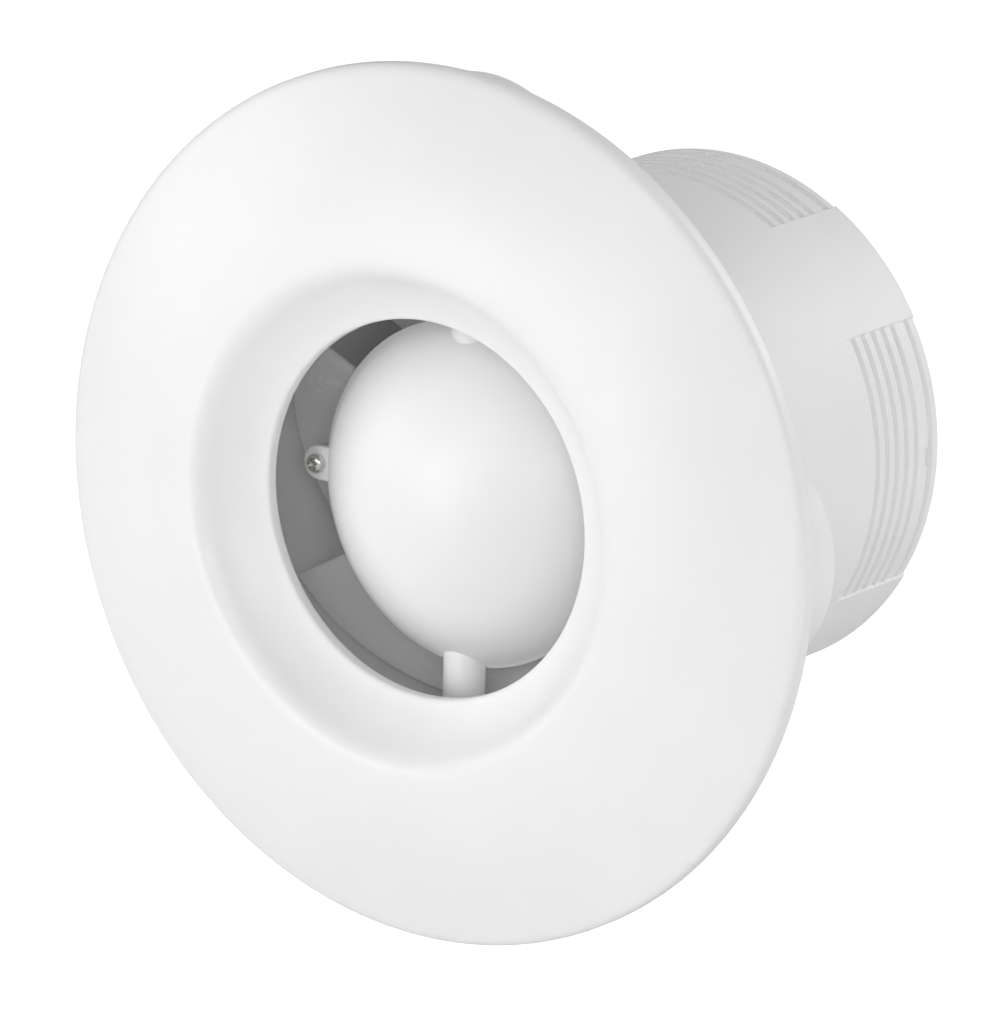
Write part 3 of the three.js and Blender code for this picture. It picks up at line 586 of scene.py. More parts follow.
def spring_wire():
    """Drawn steel wire with faint lines along it."""
    finish = Finish("spring_wire", 0.25, 1.0)
    finish.paint(finish.ramp(finish.noise(1.5, 4.0), (0.42, 0.43, 0.45), (0.62, 0.63, 0.65)))
    finish.bump(finish.noise(6.0, 3.0), 0.008)
    return finish.material


def soft_rubber():
    finish = Finish("grommet_rubber", 0.75)
    bloom = finish.noise(0.8, 5.0)
    finish.paint(finish.ramp(bloom, (0.018, 0.018, 0.019), (0.05, 0.05, 0.052)))
    finish.paint(finish.ramp(bloom, 0.6, 0.9), "Roughness")
    finish.bump(finish.noise(5.0, 3.0), 0.03)
    return finish.material


def insulation(name, dark, light):
    """Soft extruded insulation, slightly scuffed along its length."""
    finish = Finish(name, 0.42)
    finish.paint(finish.ramp(finish.noise(0.9, 4.0, 0.6, (1, 1, 0.3)), dark, light))
    finish.bump(finish.noise(3.0, 3.0), 0.015)
    return finish.material


def floor_paint():
    """A smooth pale studio sweep that looks evenly white without lighting the fan from below."""
    finish = Finish("studio_floor", 0.9)
    finish.paint(finish.ramp(finish.noise(0.004, 2.0), (0.71, 0.71, 0.71), (0.73, 0.73, 0.73)))
    seen = finish.add("LightPath", "Is Camera Ray")
    finish.paint(finish.ramp(seen, 0.0, FLOOR_GLOW, 0, 1), "Emission Strength")
    finish.feed(finish.shader, Emission_Color=(1, 1, 1, 1), Specular_IOR_Level=0.0)
    return finish.material


WHITE = (0.91, 0.91, 0.908)
MADE_LOOKS = (
    (moulded, "panel_plastic", WHITE, 0.34, 0.006, 0.3),
    (moulded, "base_plastic", WHITE, 0.46, 0.014, 0.22),
    (moulded, "pod_plastic", WHITE, 0.36, 0.006, 0.3),
    # the impeller's last value is a painted glow, an emission that brightens its shaded blades inside
    # the duct
    (moulded, "impeller_plastic", (0.52, 0.52, 0.52), 0.24, 0.004, 0.3, 0.07),
    (moulded, "shutter_plastic", (0.85, 0.85, 0.845), 0.42, 0.012, 0.2),
    (moulded, "cream_plastic", (0.78, 0.74, 0.62), 0.4, 0.01, 0.2),
    (plated, "zinc_steel", (0.56, 0.58, 0.61), (0.66, 0.65, 0.58)),
    (plated, "screw_steel", (0.66, 0.67, 0.69), (0.76, 0.75, 0.7), 0.24),
    (insulation, "brown_insulation", (0.09, 0.035, 0.015), (0.16, 0.065, 0.03)),
    (insulation, "blue_insulation", (0.02, 0.07, 0.24), (0.045, 0.13, 0.38)),
)
LOOKS = {name: make(name, *values) for make, name, *values in MADE_LOOKS}
LOOKS.update(
    spring_steel=spring_wire(), laminated_steel=sheet_stack(), copper_wire=wire_enamel(),
    brass=turned_brass(), bronze=sintered_bronze(), black_rubber=soft_rubber(),
)
WHITE_LOOKS = ("panel_plastic", "base_plastic", "pod_plastic", "shutter_plastic")
SLOT_OF = {"screw_steel": "zinc_steel", **dict.fromkeys(WHITE_LOOKS, "white_plastic")}


def place_piece(made, node, look):
    """Names a finished solid after the CAD node it stands for, and lets it ride on that node's body."""
    made.name = node + "_fine"
    mesh = made.data
    mesh.name = made.name
    mesh.materials.clear()
    mesh.materials.append(LOOKS[look])
    mesh.polygons.foreach_set("material_index", [0] * len(mesh.polygons))
    mesh.shade_smooth()
    mesh.set_sharp_from_angle(angle=SHARP)
    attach(made, frame["nodes"][node]["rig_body"])
    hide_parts(node)
    return made


# ---- front panel
def panel_face():
    """The face seen from the room, from the back of the throat out to the rim's rear edge."""
    line = [np.array([[THROAT_R, THROAT_BACK], [THROAT_R, -41.0], [THROAT_R, -41.9]])]
    curves = [
        ((THROAT_R, -41.9), (THROAT_R, -42.6), (35.6, -42.65), (36.5, -43.1), 8),
        ((36.5, -43.1), (38.4, -44), (41.3, -46.3), (43.1, -48.4), 14),
        ((43.1, -48.4), (44.6, -50.1), (45.8, PANEL_FRONT), (RIDGE_R, PANEL_FRONT), 14),
        ((RIDGE_R, PANEL_FRONT), (57, PANEL_FRONT), (69.9, -46), (78.6, -42), 34),
        ((78.6, -42), (80.4, -41.2), (PANEL_R, -40.6), (PANEL_R, -39.4), 10),
    ]
    line += [bezier(*curve) for curve in curves]
    line.append(np.array([[PANEL_R, -38.6], [PANEL_R, PANEL_BACK]]))
    return np.concatenate(line)


def offset_line(line, distance):
    """The line moved back into the material."""
    along = np.gradient(line, axis=0)
    along /= np.linalg.norm(along, axis=1)[:, None]
    return columns(line[:, 0] - along[:, 1] * distance, line[:, 1] + along[:, 0] * distance)


def at_peg(made, angle):
    """Moves a solid from the fan's axis to one of the four pegs' places."""
    return moved(made, PEG_REACH * math.cos(angle), 0, PEG_REACH * math.sin(angle))


def panel_peg(angle):
    radius, shoulder, stop = PEG.radius, PEG.shoulder, PEG.stop
    buried = PANEL_FRONT + 1.6
    return at_peg(spindle([
        (AXIS, buried, 0), (shoulder, buried, 0), (shoulder, stop, 0.25), (radius, stop, 0.2),
        (radius, PEG_END - 2, 0.6), (radius - 0.9, PEG_END, 0.3), (AXIS, PEG_END, 0),
    ]), angle)


def build_panel():
    face = panel_face()
    back = offset_line(face, PANEL_WALL)[::-1]
    back = back[(back[:, 1] < PANEL_BACK + 0.001)]
    soft = 0.35
    face[-1, 1] = PANEL_BACK - soft
    face[0, 1] = THROAT_BACK - soft
    def edge(r0, r1, y):
        """The rounded rear edge of the wall, from radius r0 to r1."""
        return rounded([(r0, y - 1, 0), (r0, y, soft), (r1, y, soft), (r1, y - 1, 0)], 3, False)
    rim = edge(PANEL_R, PANEL_R - PANEL_WALL, PANEL_BACK)
    throat = edge(THROAT_R + PANEL_WALL, THROAT_R, THROAT_BACK)
    back = back[(back[:, 1] < PANEL_BACK - 1.2) | (back[:, 0] < PANEL_R - PANEL_WALL - 1)]
    back = back[(back[:, 1] < THROAT_BACK - 1.05) | (back[:, 0] > THROAT_R + PANEL_WALL + 1)]
    face = face[1:-1]
    profile = np.concatenate([face, rim[1:], back, throat[:-1]])
    return join(turned(profile, 256), *copies(panel_peg))


# ---- base and spigot
def near(edges, half, count):
    """Values gathered closely round each edge."""
    return np.concatenate([edge + np.linspace(-half, half, count) for edge in edges])


def build_spigot():
    """The spigot's solid: smooth pads with four grooved patches between them."""
    crisp = 0.12  # half the width of a step's slope
    patch_edges = [k * math.pi / 2 + side * PATCH.angle / 2 for k in range(4) for side in (-1, 1)]
    turn = crisp * 1.5 / PAD_R
    angle = np.concatenate([np.arange(288) * TAU / 288, near(patch_edges, turn, 5) % TAU])
    angle = np.unique(np.round(angle, 5))
    groove_edges = [y + side * GROOVE_WIDTH / 2 for y in GROOVES for side in (-1, 1)]
    rim = 0.4
    corner = np.linspace(0, 1, 6) * math.pi / 2
    foot = 1.0
    flare_y = WALL + foot * (1 - np.cos(corner))
    along = np.concatenate([
        [WALL - 1], flare_y, np.linspace(WALL + 2, SPIGOT_END - 3, 20),
        near(groove_edges + [PATCH.front], crisp, 5), SPIGOT_END - rim + rim * np.sin(corner),
    ])
    along = np.unique(np.round(along, 4))
    step = lambda y: smooth_step(along, y - crisp, y + crisp)
    grooves = sum(step(y - GROOVE_WIDTH / 2) - step(y + GROOVE_WIDTH / 2) for y in GROOVES)
    in_patch = step(PATCH.front)
    depth = in_patch * (PAD_R - PATCH.rib + grooves * (PATCH.rib - PATCH.groove))
    flare = foot - np.sqrt(np.clip(foot**2 - (foot - np.clip(along - WALL, 0, foot)) ** 2, 0, None))
    end = rim - np.sqrt(np.clip(rim**2 - np.clip(along - SPIGOT_END + rim, 0, rim) ** 2, 0, None))
    offset = (angle + math.pi / 4) % (math.pi / 2) - math.pi / 4  # from the nearest patch's middle
    edge = PATCH.angle / 2
    inside = 1 - smooth_step(np.abs(offset), edge - turn, edge + turn)
    r = PAD_R + (flare - end)[:, None] - depth[:, None] * inside[None, :]
    return loft(columns(r * np.cos(angle), along[:, None], r * np.sin(angle)))


def spigot_window(angle):
    across, along = WINDOW.across / 2, WINDOW.along / 2
    slot = block(DUCT_R - 2, PAD_R + 3, WINDOW.y - along, WINDOW.y + along, -across, across)
    return moved(slot, turn=-angle)


def socket_post(angle):
    outer, front = SOCKET.outer, SOCKET.front
    return at_peg(spindle([
        (AXIS, front, 0), (outer, front, 0.35), (outer, FLOOR_FRONT, 0.7),
        (outer + 3, FLOOR_FRONT, 0), (outer + 3, FLOOR_FRONT + 1, 0), (AXIS, FLOOR_FRONT + 1, 0),
    ], 40), angle)


def socket_bore(angle):
    bore, front, end = SOCKET.bore, SOCKET.front, SOCKET.end
    lead_in = [(AXIS, front - 1), (bore + 1.4, front - 1), (bore, front + 0.4)]
    return at_peg(turned(lead_in + [(bore, end), (AXIS, end)], 40, "caps"), angle)


def clamp_places():
    step = CLAMP.screw / math.sqrt(2)
    return [(CLAMP.x + side * step, CLAMP.z - side * step) for side in (-1, 1)]


def build_base():
    tray = prism(base_outline, BASE_FRONT, WALL, 0.6, 0.9, 5)
    pocket = prism(lambda inset: base_outline(SKIN + inset), BASE_FRONT - 2, FLOOR_FRONT, 0, 1.2, 5)
    cut(tray, pocket)
    posts = [rod(CLAMP.post, CLAMP.seat, WALL - 1, x, z, 0.2) for x, z in clamp_places()]
    join(tray, build_spigot(), *copies(socket_post), *posts)
    bore = spindle([
        (AXIS, BASE_FRONT - 4, 0), (DUCT_R + 1.2, BASE_FRONT - 4, 0),
        (DUCT_R + 1.2, FLOOR_FRONT + 0.4, 0.8), (DUCT_R, FLOOR_FRONT + 1.8, 1.6),
        (DUCT_R, SPIGOT_END - 0.4, 0), (DUCT_R + 1.4, SPIGOT_END + 1, 0), (AXIS, SPIGOT_END + 1, 0),
    ], 256, 6)
    hole = lambda radius, x, z: rod(radius, BASE_FRONT, WALL + 2, x, z)
    reach = WALL_HOLE.reach
    holes = [hole(WALL_HOLE.radius, x, z) for x, z in ((reach, 0), (-reach, 0), (0, -reach))]
    small = clamp_places() + [(TERMINAL.middle, TERMINAL.z)]
    holes += [hole(PILOT.small, x, z) for x, z in small]
    holes += [hole(PILOT.medium, side * EAR.x, side * EAR.z) for side in (-1, 1)]
    holes.append(hole(GROMMET.hole, GROMMET.x, GROMMET.z))
    return cut(tray, bore, *copies(spigot_window, start=0), *copies(socket_bore), *holes)


# ---- motor pod
def build_dome():
    rim, back, wall = DOME.radius, DOME.back, DOME.wall
    rise = back - POD_LOW.y
    sphere = (rim * rim + rise * rise) / (2 * rise)
    centre = back - rise + sphere
    def cap(radius, edge_y, count):
        last = math.acos((centre - edge_y) / radius)
        angle = np.linspace(0.002, last, count)
        return columns(radius * np.sin(angle), centre - radius * np.cos(angle))
    outside = cap(sphere, back - 0.5, 40)
    inside = cap(sphere - wall, back, 32)[::-1]
    lip = np.array([[rim + 0.02, back - 0.22], [rim - 0.12, back - 0.04], [rim - 0.4, back]])
    return turned(np.concatenate([outside, lip, inside]), 192)


def half_round(radius, back, z0, z1):
    """A bar along Z whose section is the part of a circle in front of the plane y = back."""
    centre = STRUT.front + STRUT.radius
    edge = math.asin((centre - back) / radius)
    angle = np.linspace(edge, math.pi - edge, 48)
    return loft([columns(radius * np.cos(angle), centre - radius * np.sin(angle), z) for z in (z0, z1)])


def build_strut():
    """The upper strut with the ear that is screwed to the base, and the channel behind it."""
    back, outer, r = FLOOR_FRONT - FIT, STRUT.outer, EAR.radius
    bar = half_round(STRUT.radius, back, STRUT.inner, outer)
    ear = block(0, EAR.x + r, EAR.front, back, outer - 2 * r, outer, r - 0.05, 0.35)
    centre = STRUT.front + STRUT.radius
    return join(bar, ear), half_round(CHANNEL.radius, centre + 1, CHANNEL.inner, outer + 1)


def build_lug(side):
    """The lug under one side of the dome that takes the motor's screw."""
    r, inner = LUG.radius, DOME.radius - 4
    low, high = sorted((side * inner, side * (LUG.reach + r)))
    return block(low, high, LUG.front, LUG.back, -r, r, r - 0.02, 0.35)


def build_pod():
    whole, channels = build_dome(), []
    for turn in (0, math.pi):
        strut, channel = build_strut()
        join(whole, moved(strut, turn=turn))
        channels.append(moved(channel, turn=turn))
    join(whole, *(build_lug(side) for side in (1, -1)))
    holes = []
    for side in (1, -1):
        holes.append(rod(LUG.hole, LUG.front - 1, LUG.back + 1, side * LUG.reach))
        holes.append(rod(EAR.hole, EAR.front - 1, WALL, side * EAR.x, side * EAR.z))
    return cut(whole, *channels, *holes)


# ---- motor
def build_plate():
    front, back, half = PLATE.front, PLATE.back, PLATE.ear / 2
    disc = prism(circle(PLATE.radius, segments=128), front, back, 0.15, 0.15)
    ears = block(-LUG.reach - half, LUG.reach + half, front, back, -half, half, half - 0.02, 0.15)
    hole = lambda radius, x, z: rod(radius, front - 1, back + 1, x, z)
    vent = PLATE_VENT
    vents = [hole(vent.radius, x * vent.x, z * vent.z) for x in (1, -1) for z in (1, -1)]
    seats = [hole(LUG.hole, side * LUG.reach, 0) for side in (1, -1)]
    seats += [hole(BEARING_SEAT, 0, 0), hole(LEAD_EXIT.radius, 0, LEAD_EXIT.z)]
    return cut(join(disc, ears), *seats, *vents)


def build_can():
    low, high = corners("motor_can")
    outer, wall, lip = high.x, 1.0, BEARING_SEAT
    front, back = low.y, high.y
    return ring([
        (outer - wall, front, 0.1), (outer, front, 0.3), (outer, back, 1.6), (lip + 2.4, back, 0.5),
        (lip, back - 0.2, 0.3), (lip, back - 2.6, 0.1), (lip + 1.2, back - 2.6, 0.1),
        (lip + 1.4, back - wall, 0.2), (outer - wall, back - wall, 0.8),
    ], 128)


def build_bearing(node):
    low, high = corners(node)
    return flat_ring(SHAFT_R + 0.05, high.x, low.y, high.y, 0.25, 0.35, 64)


def build_coil():
    """A winding round the upper tooth, with its layers of wire raised on its faces."""
    low, high = corners("coil_1")
    thick = 2.2
    middle_y = (low.y + high.y) / 2
    half_x, half_y = high.x - thick / 2, (high.y - low.y) / 2 - thick / 2
    path = rectangle(-half_x, half_x, middle_y - half_y, middle_y + half_y, 0.9, 10)(0)
    ahead = np.roll(path, -1, 0) - np.roll(path, 1, 0)
    ahead /= np.linalg.norm(ahead, axis=1)[:, None]
    out = columns(ahead[:, 1], -ahead[:, 0])
    section = rectangle(-thick / 2, thick / 2, low.z, high.z, 0.45, 4)(0)
    dense = []
    for a, b in zip(section, np.roll(section, -1, 0)):
        count = max(1, int(np.linalg.norm(b - a) / 0.075))
        dense += [a + (b - a) * t / count for t in range(count)]
    dense = np.array(dense)
    turns = 0.04 * (1 - np.abs(np.sin(dense[:, 1] / 0.3 * math.pi)))
    width = dense[:, 0] * (1 - turns)
    rings = [
        columns(place[0] + side[0] * width, place[1] + side[1] * width, dense[:, 1])
        for place, side in zip(path, out)
    ]
    return loft(rings, "loop")


def build_shaft():
    low, high = corners("shaft")
    return spindle(bar_corners(high.x, low.y, high.y, 0.4, 0.3), 48)


def build_rotor_core():
    low, high = corners("rotor_core")
    bore = SHAFT_R + 0.02
    cap = 1.2
    return ring([
        (bore, low.y, 0), (high.x - 1.4, low.y, 0.3), (high.x - 1.2, low.y + cap, 0.1),
        (high.x, low.y + cap, 0.1), (high.x, high.y - cap, 0.1),
        (high.x - 1.2, high.y - cap, 0.1), (high.x - 1.4, high.y, 0.3), (bore, high.y, 0),
    ], 96, 3)


# ---- impeller
def build_blade(start):
    """A swept blade with a round nose, a fine tail, a flared root and a rounded tip."""
    chord = 44
    turn = np.linspace(0, math.pi, chord // 2 + 1)
    behind = (1 - np.cos(turn)) / 2
    behind = np.concatenate([behind, behind[-2:0:-1]])
    side = np.concatenate([np.ones(chord // 2 + 1), -np.ones(chord // 2 - 1)])
    round_end = lambda share: np.sqrt(np.clip(1 - (1 - np.clip(share, 0, 1)) ** 2, 0, None))
    nose, tail = round_end(behind / BLADE.nose), round_end((1 - behind) / BLADE.tail)
    body = 0.5 * (1 - 0.4 * behind) * nose * tail
    root, tip = BLADE.root, BLADE.tip
    rounding = 0.6
    stations = np.concatenate([
        [root], HUB.radius + np.linspace(0, 1.6, 7), np.linspace(32, tip - rounding, 12),
        tip - rounding * (1 - np.sin(np.linspace(0.3, 1.5, 5))),
    ])
    rings = []
    for r in stations:
        outward = (r - root) / (tip - root)
        flare = 1 + 0.9 * math.exp(-max(r - HUB.radius, 0) / 0.55)
        fade = math.sqrt(max(1 - max(0, (r - tip + rounding) / 0.62) ** 2, 0))
        slope = BLADE.depth * (0.6 + 0.8 * behind)
        run = -BLADE.sweep * r
        length = np.hypot(slope, run)
        thick = (BLADE.thick + (BLADE.thin - BLADE.thick) * outward) * body * flare * fade
        angle = start - BLADE.sweep * behind - side * thick * slope / length / r
        y = BLADE.front + BLADE.thick / 2 + BLADE.depth * (0.6 * behind + 0.4 * behind**2)
        y = y - BLADE.lean * outward**3
        y = y + side * thick * run / length
        rings.append(around(r, y, angle))
    return loft(rings)


def build_impeller():
    radius, wall, front, back = HUB.radius, HUB.wall, HUB.front, HUB_BACK
    bore = SHAFT_R + 0.02
    cup = ring([
        (radius - wall, front, 0.5), (radius, front, 0.5), (radius, back, 1.6), (8.5, back, 0.3),
        (6, back + 1, 0.4), (bore, back + 1, 0.2), (bore, back - 4, 0), (6, back - 4, 0.3),
        (6, back - wall, 0.4), (radius - wall, back - wall, 0.8),
    ], 192)
    return join(cup, *(build_blade(k * TAU / BLADES) for k in range(BLADES)))


def build_clip():
    """A push-on star washer with a toothed bore."""
    low, high = corners("impeller_clip")
    bore = SHAFT_R + 0.05
    washer = flat_ring(bore, high.x, low.y, high.y, 0.05, 0.2, 72)
    slot = lambda: block(bore - 1, bore + 1.3, low.y - 1, high.y + 1, -0.25, 0.25, 0.2)
    return cut(washer, *(moved(slot(), turn=k * TAU / 6) for k in range(6)))


# ---- shutter
def build_shutter_frame():
    outer, inner, ledge = LEDGE.outer, LEDGE.inner, LEDGE.ledge
    front, seat, back = SHUTTER_LOW.y, LEDGE.seat, LEDGE.back
    rim = ring([(ledge, front, 0.3), (outer, front, 0.4), (outer, back, 0.4), (inner, back, 0.4),
                (inner, seat, 0.2), (ledge, seat, 0.3)], 192)
    mullion = block(-2.6, 2.6, front, seat, -ledge - 1, ledge + 1, 0.1, 0.35)
    saddle = block(-1.6, 1.6, seat - 0.5, PIN_Y + 1.8, -2, 2, 0.4, 0.3)
    ends = (inner - 1.6, outer - 0.8), (0.8 - outer, 1.6 - inner)
    seats = [block(-2.2, 2.2, seat - 1, PIN_Y + 2.2, *span, 0.4, 0.3) for span in ends]
    def nib(angle):
        middle = WINDOW.y
        made = block(outer - 0.5, outer + 1.4, middle - 0.3, middle + 0.3, -1.2, 1.2, 0.2, 0.1)
        return moved(made, turn=-angle)
    join(rim, mullion, saddle, *seats, *copies(nib, start=0))
    return cut(rim, rod_z(PIN_R + 0.03, 0, PIN_Y, PIN_LOW.z - 0.2, PIN_HIGH.z + 0.2))


def build_pin():
    return rod_z(PIN_R, 0, PIN_Y, PIN_LOW.z, PIN_HIGH.z, 32, 0.25)


def half_disc(radius, gap, way, steps=72):
    """The outline of a half disc on one side of the pin, as a function of its inset."""
    def outline(inset):
        r = radius - inset
        edge = gap + inset
        last = math.acos(edge / r)
        angle = np.linspace(-last, last, steps)
        return columns(way * r * np.cos(angle), r * np.sin(angle))
    return outline


def build_flap(name, way):
    """One flap: a thin leaf with stiffening ribs on its duct side and knuckles round the pin."""
    front, back, clear = FLAP.front, FLAP.back, FLAP.clear
    leaf = prism(half_disc(FLAP.radius, FLAP.gap, way), front, back, 0.25, 0.25, 3)
    rib = FLAP.rib
    rim = FLAP.radius - 1.2
    foot, top = back - 0.3, back + rib
    border = [(rim - rib, foot, 0), (rim, foot, 0), (rim, top, 0.2), (rim - rib, top, 0.2)]
    join(leaf, ring(border, 192, 2))
    for z in (-26.0, 0.0, 26.0):
        ends = sorted((way * 6.5, way * (math.sqrt(rim**2 - z * z) - rib / 2)))
        join(leaf, block(*ends, foot, top, z - rib / 2, z + rib / 2, 0.2, 0.15))
    beyond = block(*sorted((way * -60, way * FLAP.gap)), back - 1.5, back + 3, -60, 60)
    def room(z0, z1, reach=clear):
        return block(-reach, reach, front - 1, back + 2, z0 - 0.4, z1 + 0.4, 0.3)
    other = KNUCKLES["right" if name == "left" else "left"]
    end = LEDGE.inner - 2
    rooms = [room(*span) for span in other]
    rooms += [room(z0 - 2.4, z1 + 0.4) for z0, z1 in SPRINGS.values()]
    rooms += [room(-2, 2), room(end, LEDGE.outer, clear + 0.9), room(-LEDGE.outer, -end, clear + 0.9)]
    cut(leaf, beyond, *rooms)
    for z0, z1 in KNUCKLES[name]:
        web = block(*sorted((0, way * 3.4)), front, back, z0, z1, 0.1)
        join(leaf, rod_z(FLAP.knuckle, 0, PIN_Y, z0, z1, 48, 0.25), web)
    return cut(leaf, rod_z(PIN_R + 0.08, 0, PIN_Y, PIN_LOW.z, PIN_HIGH.z))


def build_spring(name, way):
    """A torsion spring on the pin: one leg on the frame, four turns, and one leg behind the flap."""
    z0, z1 = SPRINGS[name]
    t = np.linspace(0, 1, 260)
    share = 0.2
    coil = np.clip((t - share) / (1 - 2 * share), 0, 1)
    angle = -math.pi / 2 + way * coil * SPRING.turns * TAU
    first = np.clip(share - t, 0, None) / share
    last = np.clip(t - 1 + share, 0, None) / share
    lift = smooth_step(last, 0, 1 / 6)
    x = SPRING.mean * np.cos(angle) + last * way * SPRING.leg
    y = PIN_Y + SPRING.mean * np.sin(angle) * (1 - lift) - SPRING.drop * lift
    z = z0 + (z1 - z0) * coil - first * 2
    return sweep(columns(x, y, z), SPRING.wire)


# ---- screws
def cross_recess(radius, front, floor):
    """A tapered cross, wider at the face of the head."""
    def plus(arm, half):
        one = [(arm, -half), (arm, half), (half, half), (half, arm), (-half, arm), (-half, half),
               (-arm, half), (-arm, -half), (-half, -half), (-half, -arm), (half, -arm), (half, -half)]
        return np.array(one, float)
    rings = []
    near_face = (front - 0.5, 0.66, 0.19), (front, 0.62, 0.17)
    near_floor = (floor - 0.15, 0.42, 0.12), (floor, 0.2, 0.1)
    for y, arm, half in near_face + near_floor:
        flat = plus(arm * radius, half * radius)
        rings.append(columns(flat[:, 0], y, flat[:, 1]))
    return loft(rings)


def build_screw(node, turn):
    """A pan-head screw with a cross recess and a rolled thread, measured from its CAD node."""
    low, high = corners(node)
    x, z = (low.x + high.x) / 2, (low.z + high.z) / 2
    place = points(node)
    distance = radii(place, x, z)
    head = (high.z - low.z) / 2
    under = place[distance > 0.97 * head][:, 1].max()
    core = distance[place[:, 1] > high.y - 0.05].max()
    side = low.y + 0.62 * (under - low.y)
    flat = (head * 0.3, low.y)
    dome = bezier(flat, (head * 0.7, low.y), (head, low.y + 0.25 * head), (head, side), 10)
    crown = [(AXIS, low.y), flat] + dome.tolist()
    crown += [(head, under - 0.08), (head - 0.08, under), (core, under), (core, under + 0.2)]
    pitch, segments = 0.45 * core + 0.35, 40
    angle = full_turn(segments)
    thread_y = np.arange(under + 0.25, high.y - 0.02, pitch / 10)
    phase = (thread_y[:, None] / pitch - angle[None, :] / TAU) % 1
    crest = np.clip(1 - np.abs(phase - 0.5) * 3.2, 0, 1)
    tip = np.clip((high.y - thread_y) / (1.2 * core), 0.0, 1)[:, None]
    r = core * (0.74 + 0.26 * crest) * (0.35 + 0.65 * np.sqrt(tip))
    upper = np.array(crown)
    blank = loft(np.concatenate([
        around(upper[:, :1], upper[:, 1:], angle), around(r, thread_y[:, None], angle),
    ]))
    return moved(cut(blank, cross_recess(head, low.y, low.y + 0.5 * (under - low.y))), x, 0, z, turn)


# ---- wiring
def build_terminal_block():
    low, high, front = BLOCK.low, BLOCK.high, BLOCK.front
    middle = TERMINAL.middle
    body = block(BLOCK.left, BLOCK.right, front, FLOOR_FRONT - FIT, low, high, 0.5, 0.4)
    valley = block(middle - 1.9, middle + 1.9, front - 1, front + 1.2, low - 1, high + 1, 0.1)
    tools = [valley, rod(BLOCK.screw, front - 1, WALL, middle, TERMINAL.z)]
    for node in ("terminal_insert_live", "terminal_insert_neutral"):
        a, b = corners(node)
        x = (a.x + b.x) / 2
        tools.append(block(a.x - FIT, b.x + FIT, a.y - FIT, b.y + FIT, low - 1, b.z + FIT))
        tools.append(rod(2.1, front - 1, a.y, x, TERMINAL.z))
        tools.append(rod_z(1.5, x, TERMINAL.y, b.z - 1, high + 1))
    return cut(body, *tools)


def build_insert(node):
    a, b = corners(node)
    x = (a.x + b.x) / 2
    body = block(a.x, b.x, a.y, b.y, a.z, b.z, 0.3, 0.25)
    wire_hole = rod_z(0.95, x, TERMINAL.y, a.z - 1, b.z + 1)
    screw_hole = moved(spindle(bar_corners(1.15, a.y - 1, TERMINAL.y, 0, 0), 24), x, 0, TERMINAL.z)
    return cut(body, wire_hole, screw_hole)


def build_cover():
    front, back, wall, room = COVER.front, COVER.back, COVER.wall, COVER.room
    left, right, low, high = BLOCK.left, BLOCK.right, BLOCK.low, BLOCK.high
    def shape(grow, y0, y1, soft0, corner):
        outline = rectangle(left - grow, right + grow, low - grow, high + grow, corner)
        return prism(outline, y0, y1, soft0, 0)
    outside = shape(room + wall, front, back, 0.6, 1.2)
    inside = shape(room, front + wall, back + 1, 0.3, 0.4)
    hole = rod(BLOCK.screw, front - 1, back, TERMINAL.middle, TERMINAL.z)
    side = right + room + wall
    grips = [block(side - 0.25, side + 1, y - 0.25, y + 0.25, low, high) for y in (-39.2, -38.4, -37.6)]
    return cut(outside, inside, hole, *grips)


def build_grommet():
    low, high = corners("cable_grommet")
    x, z = (low.x + high.x) / 2, (low.z + high.z) / 2
    bore, flange, hole = GROMMET.bore, (high.z - low.z) / 2, GROMMET.hole - FIT
    seat = FLOOR_FRONT - FIT
    profile = [(bore, low.y, 0.4), (flange, low.y, 0.5), (flange, seat, 0.2),
               (hole, seat, 0.1), (hole, high.y, 0.4), (bore, high.y, 0.3)]
    return moved(ring(profile, 64), x, 0, z)


def build_clamp():
    half, front, back = CLAMP.width / 2, CLAMP.front, CLAMP.seat - FIT
    reach = CLAMP.screw
    body = block(-reach - half, reach + half, front, back, -half, half, half - 0.02, 0.35)
    tooth = lambda x: block(x - 0.25, x + 0.25, back - 0.35, back + 1, -half - 1, half + 1)
    teeth = [tooth(x) for x in (-2, -1, 0, 1, 2)]
    holes = [rod(1.25, front - 1, back + 1, side * reach) for side in (-1, 1)]
    return moved(cut(body, *teeth, *holes), CLAMP.x, 0, CLAMP.z, math.pi / 4)


def build_lead(side, terminal):
    """A motor lead: out of the plate, along the upper strut and into its terminal."""
    x, y, exit_z = side * LEAD.x, LEAD.y, LEAD_EXIT.z
    inner, outer = STRUT.inner, STRUT.outer
    between = lambda share: x + (terminal - x) * share
    knots = [
        (x, PLATE.front + 4, exit_z - 0.4), (x, PLATE.front, exit_z + 0.3), (x, y + 0.2, exit_z + 3.4),
        (x, y, inner + 2), (x, y, (inner + outer) / 2), (x, y, outer - 4), (x, y, outer + 0.4),
        (between(0.3), y - 0.9, outer + 1.7), (between(0.9), TERMINAL.y + 0.6, outer + 2.8),
        (terminal, TERMINAL.y, BLOCK.low + 1), (terminal, TERMINAL.y, TERMINAL.z - 1.6),
    ]
    return sweep(spline(knots, 8), LEAD.radius, 16)


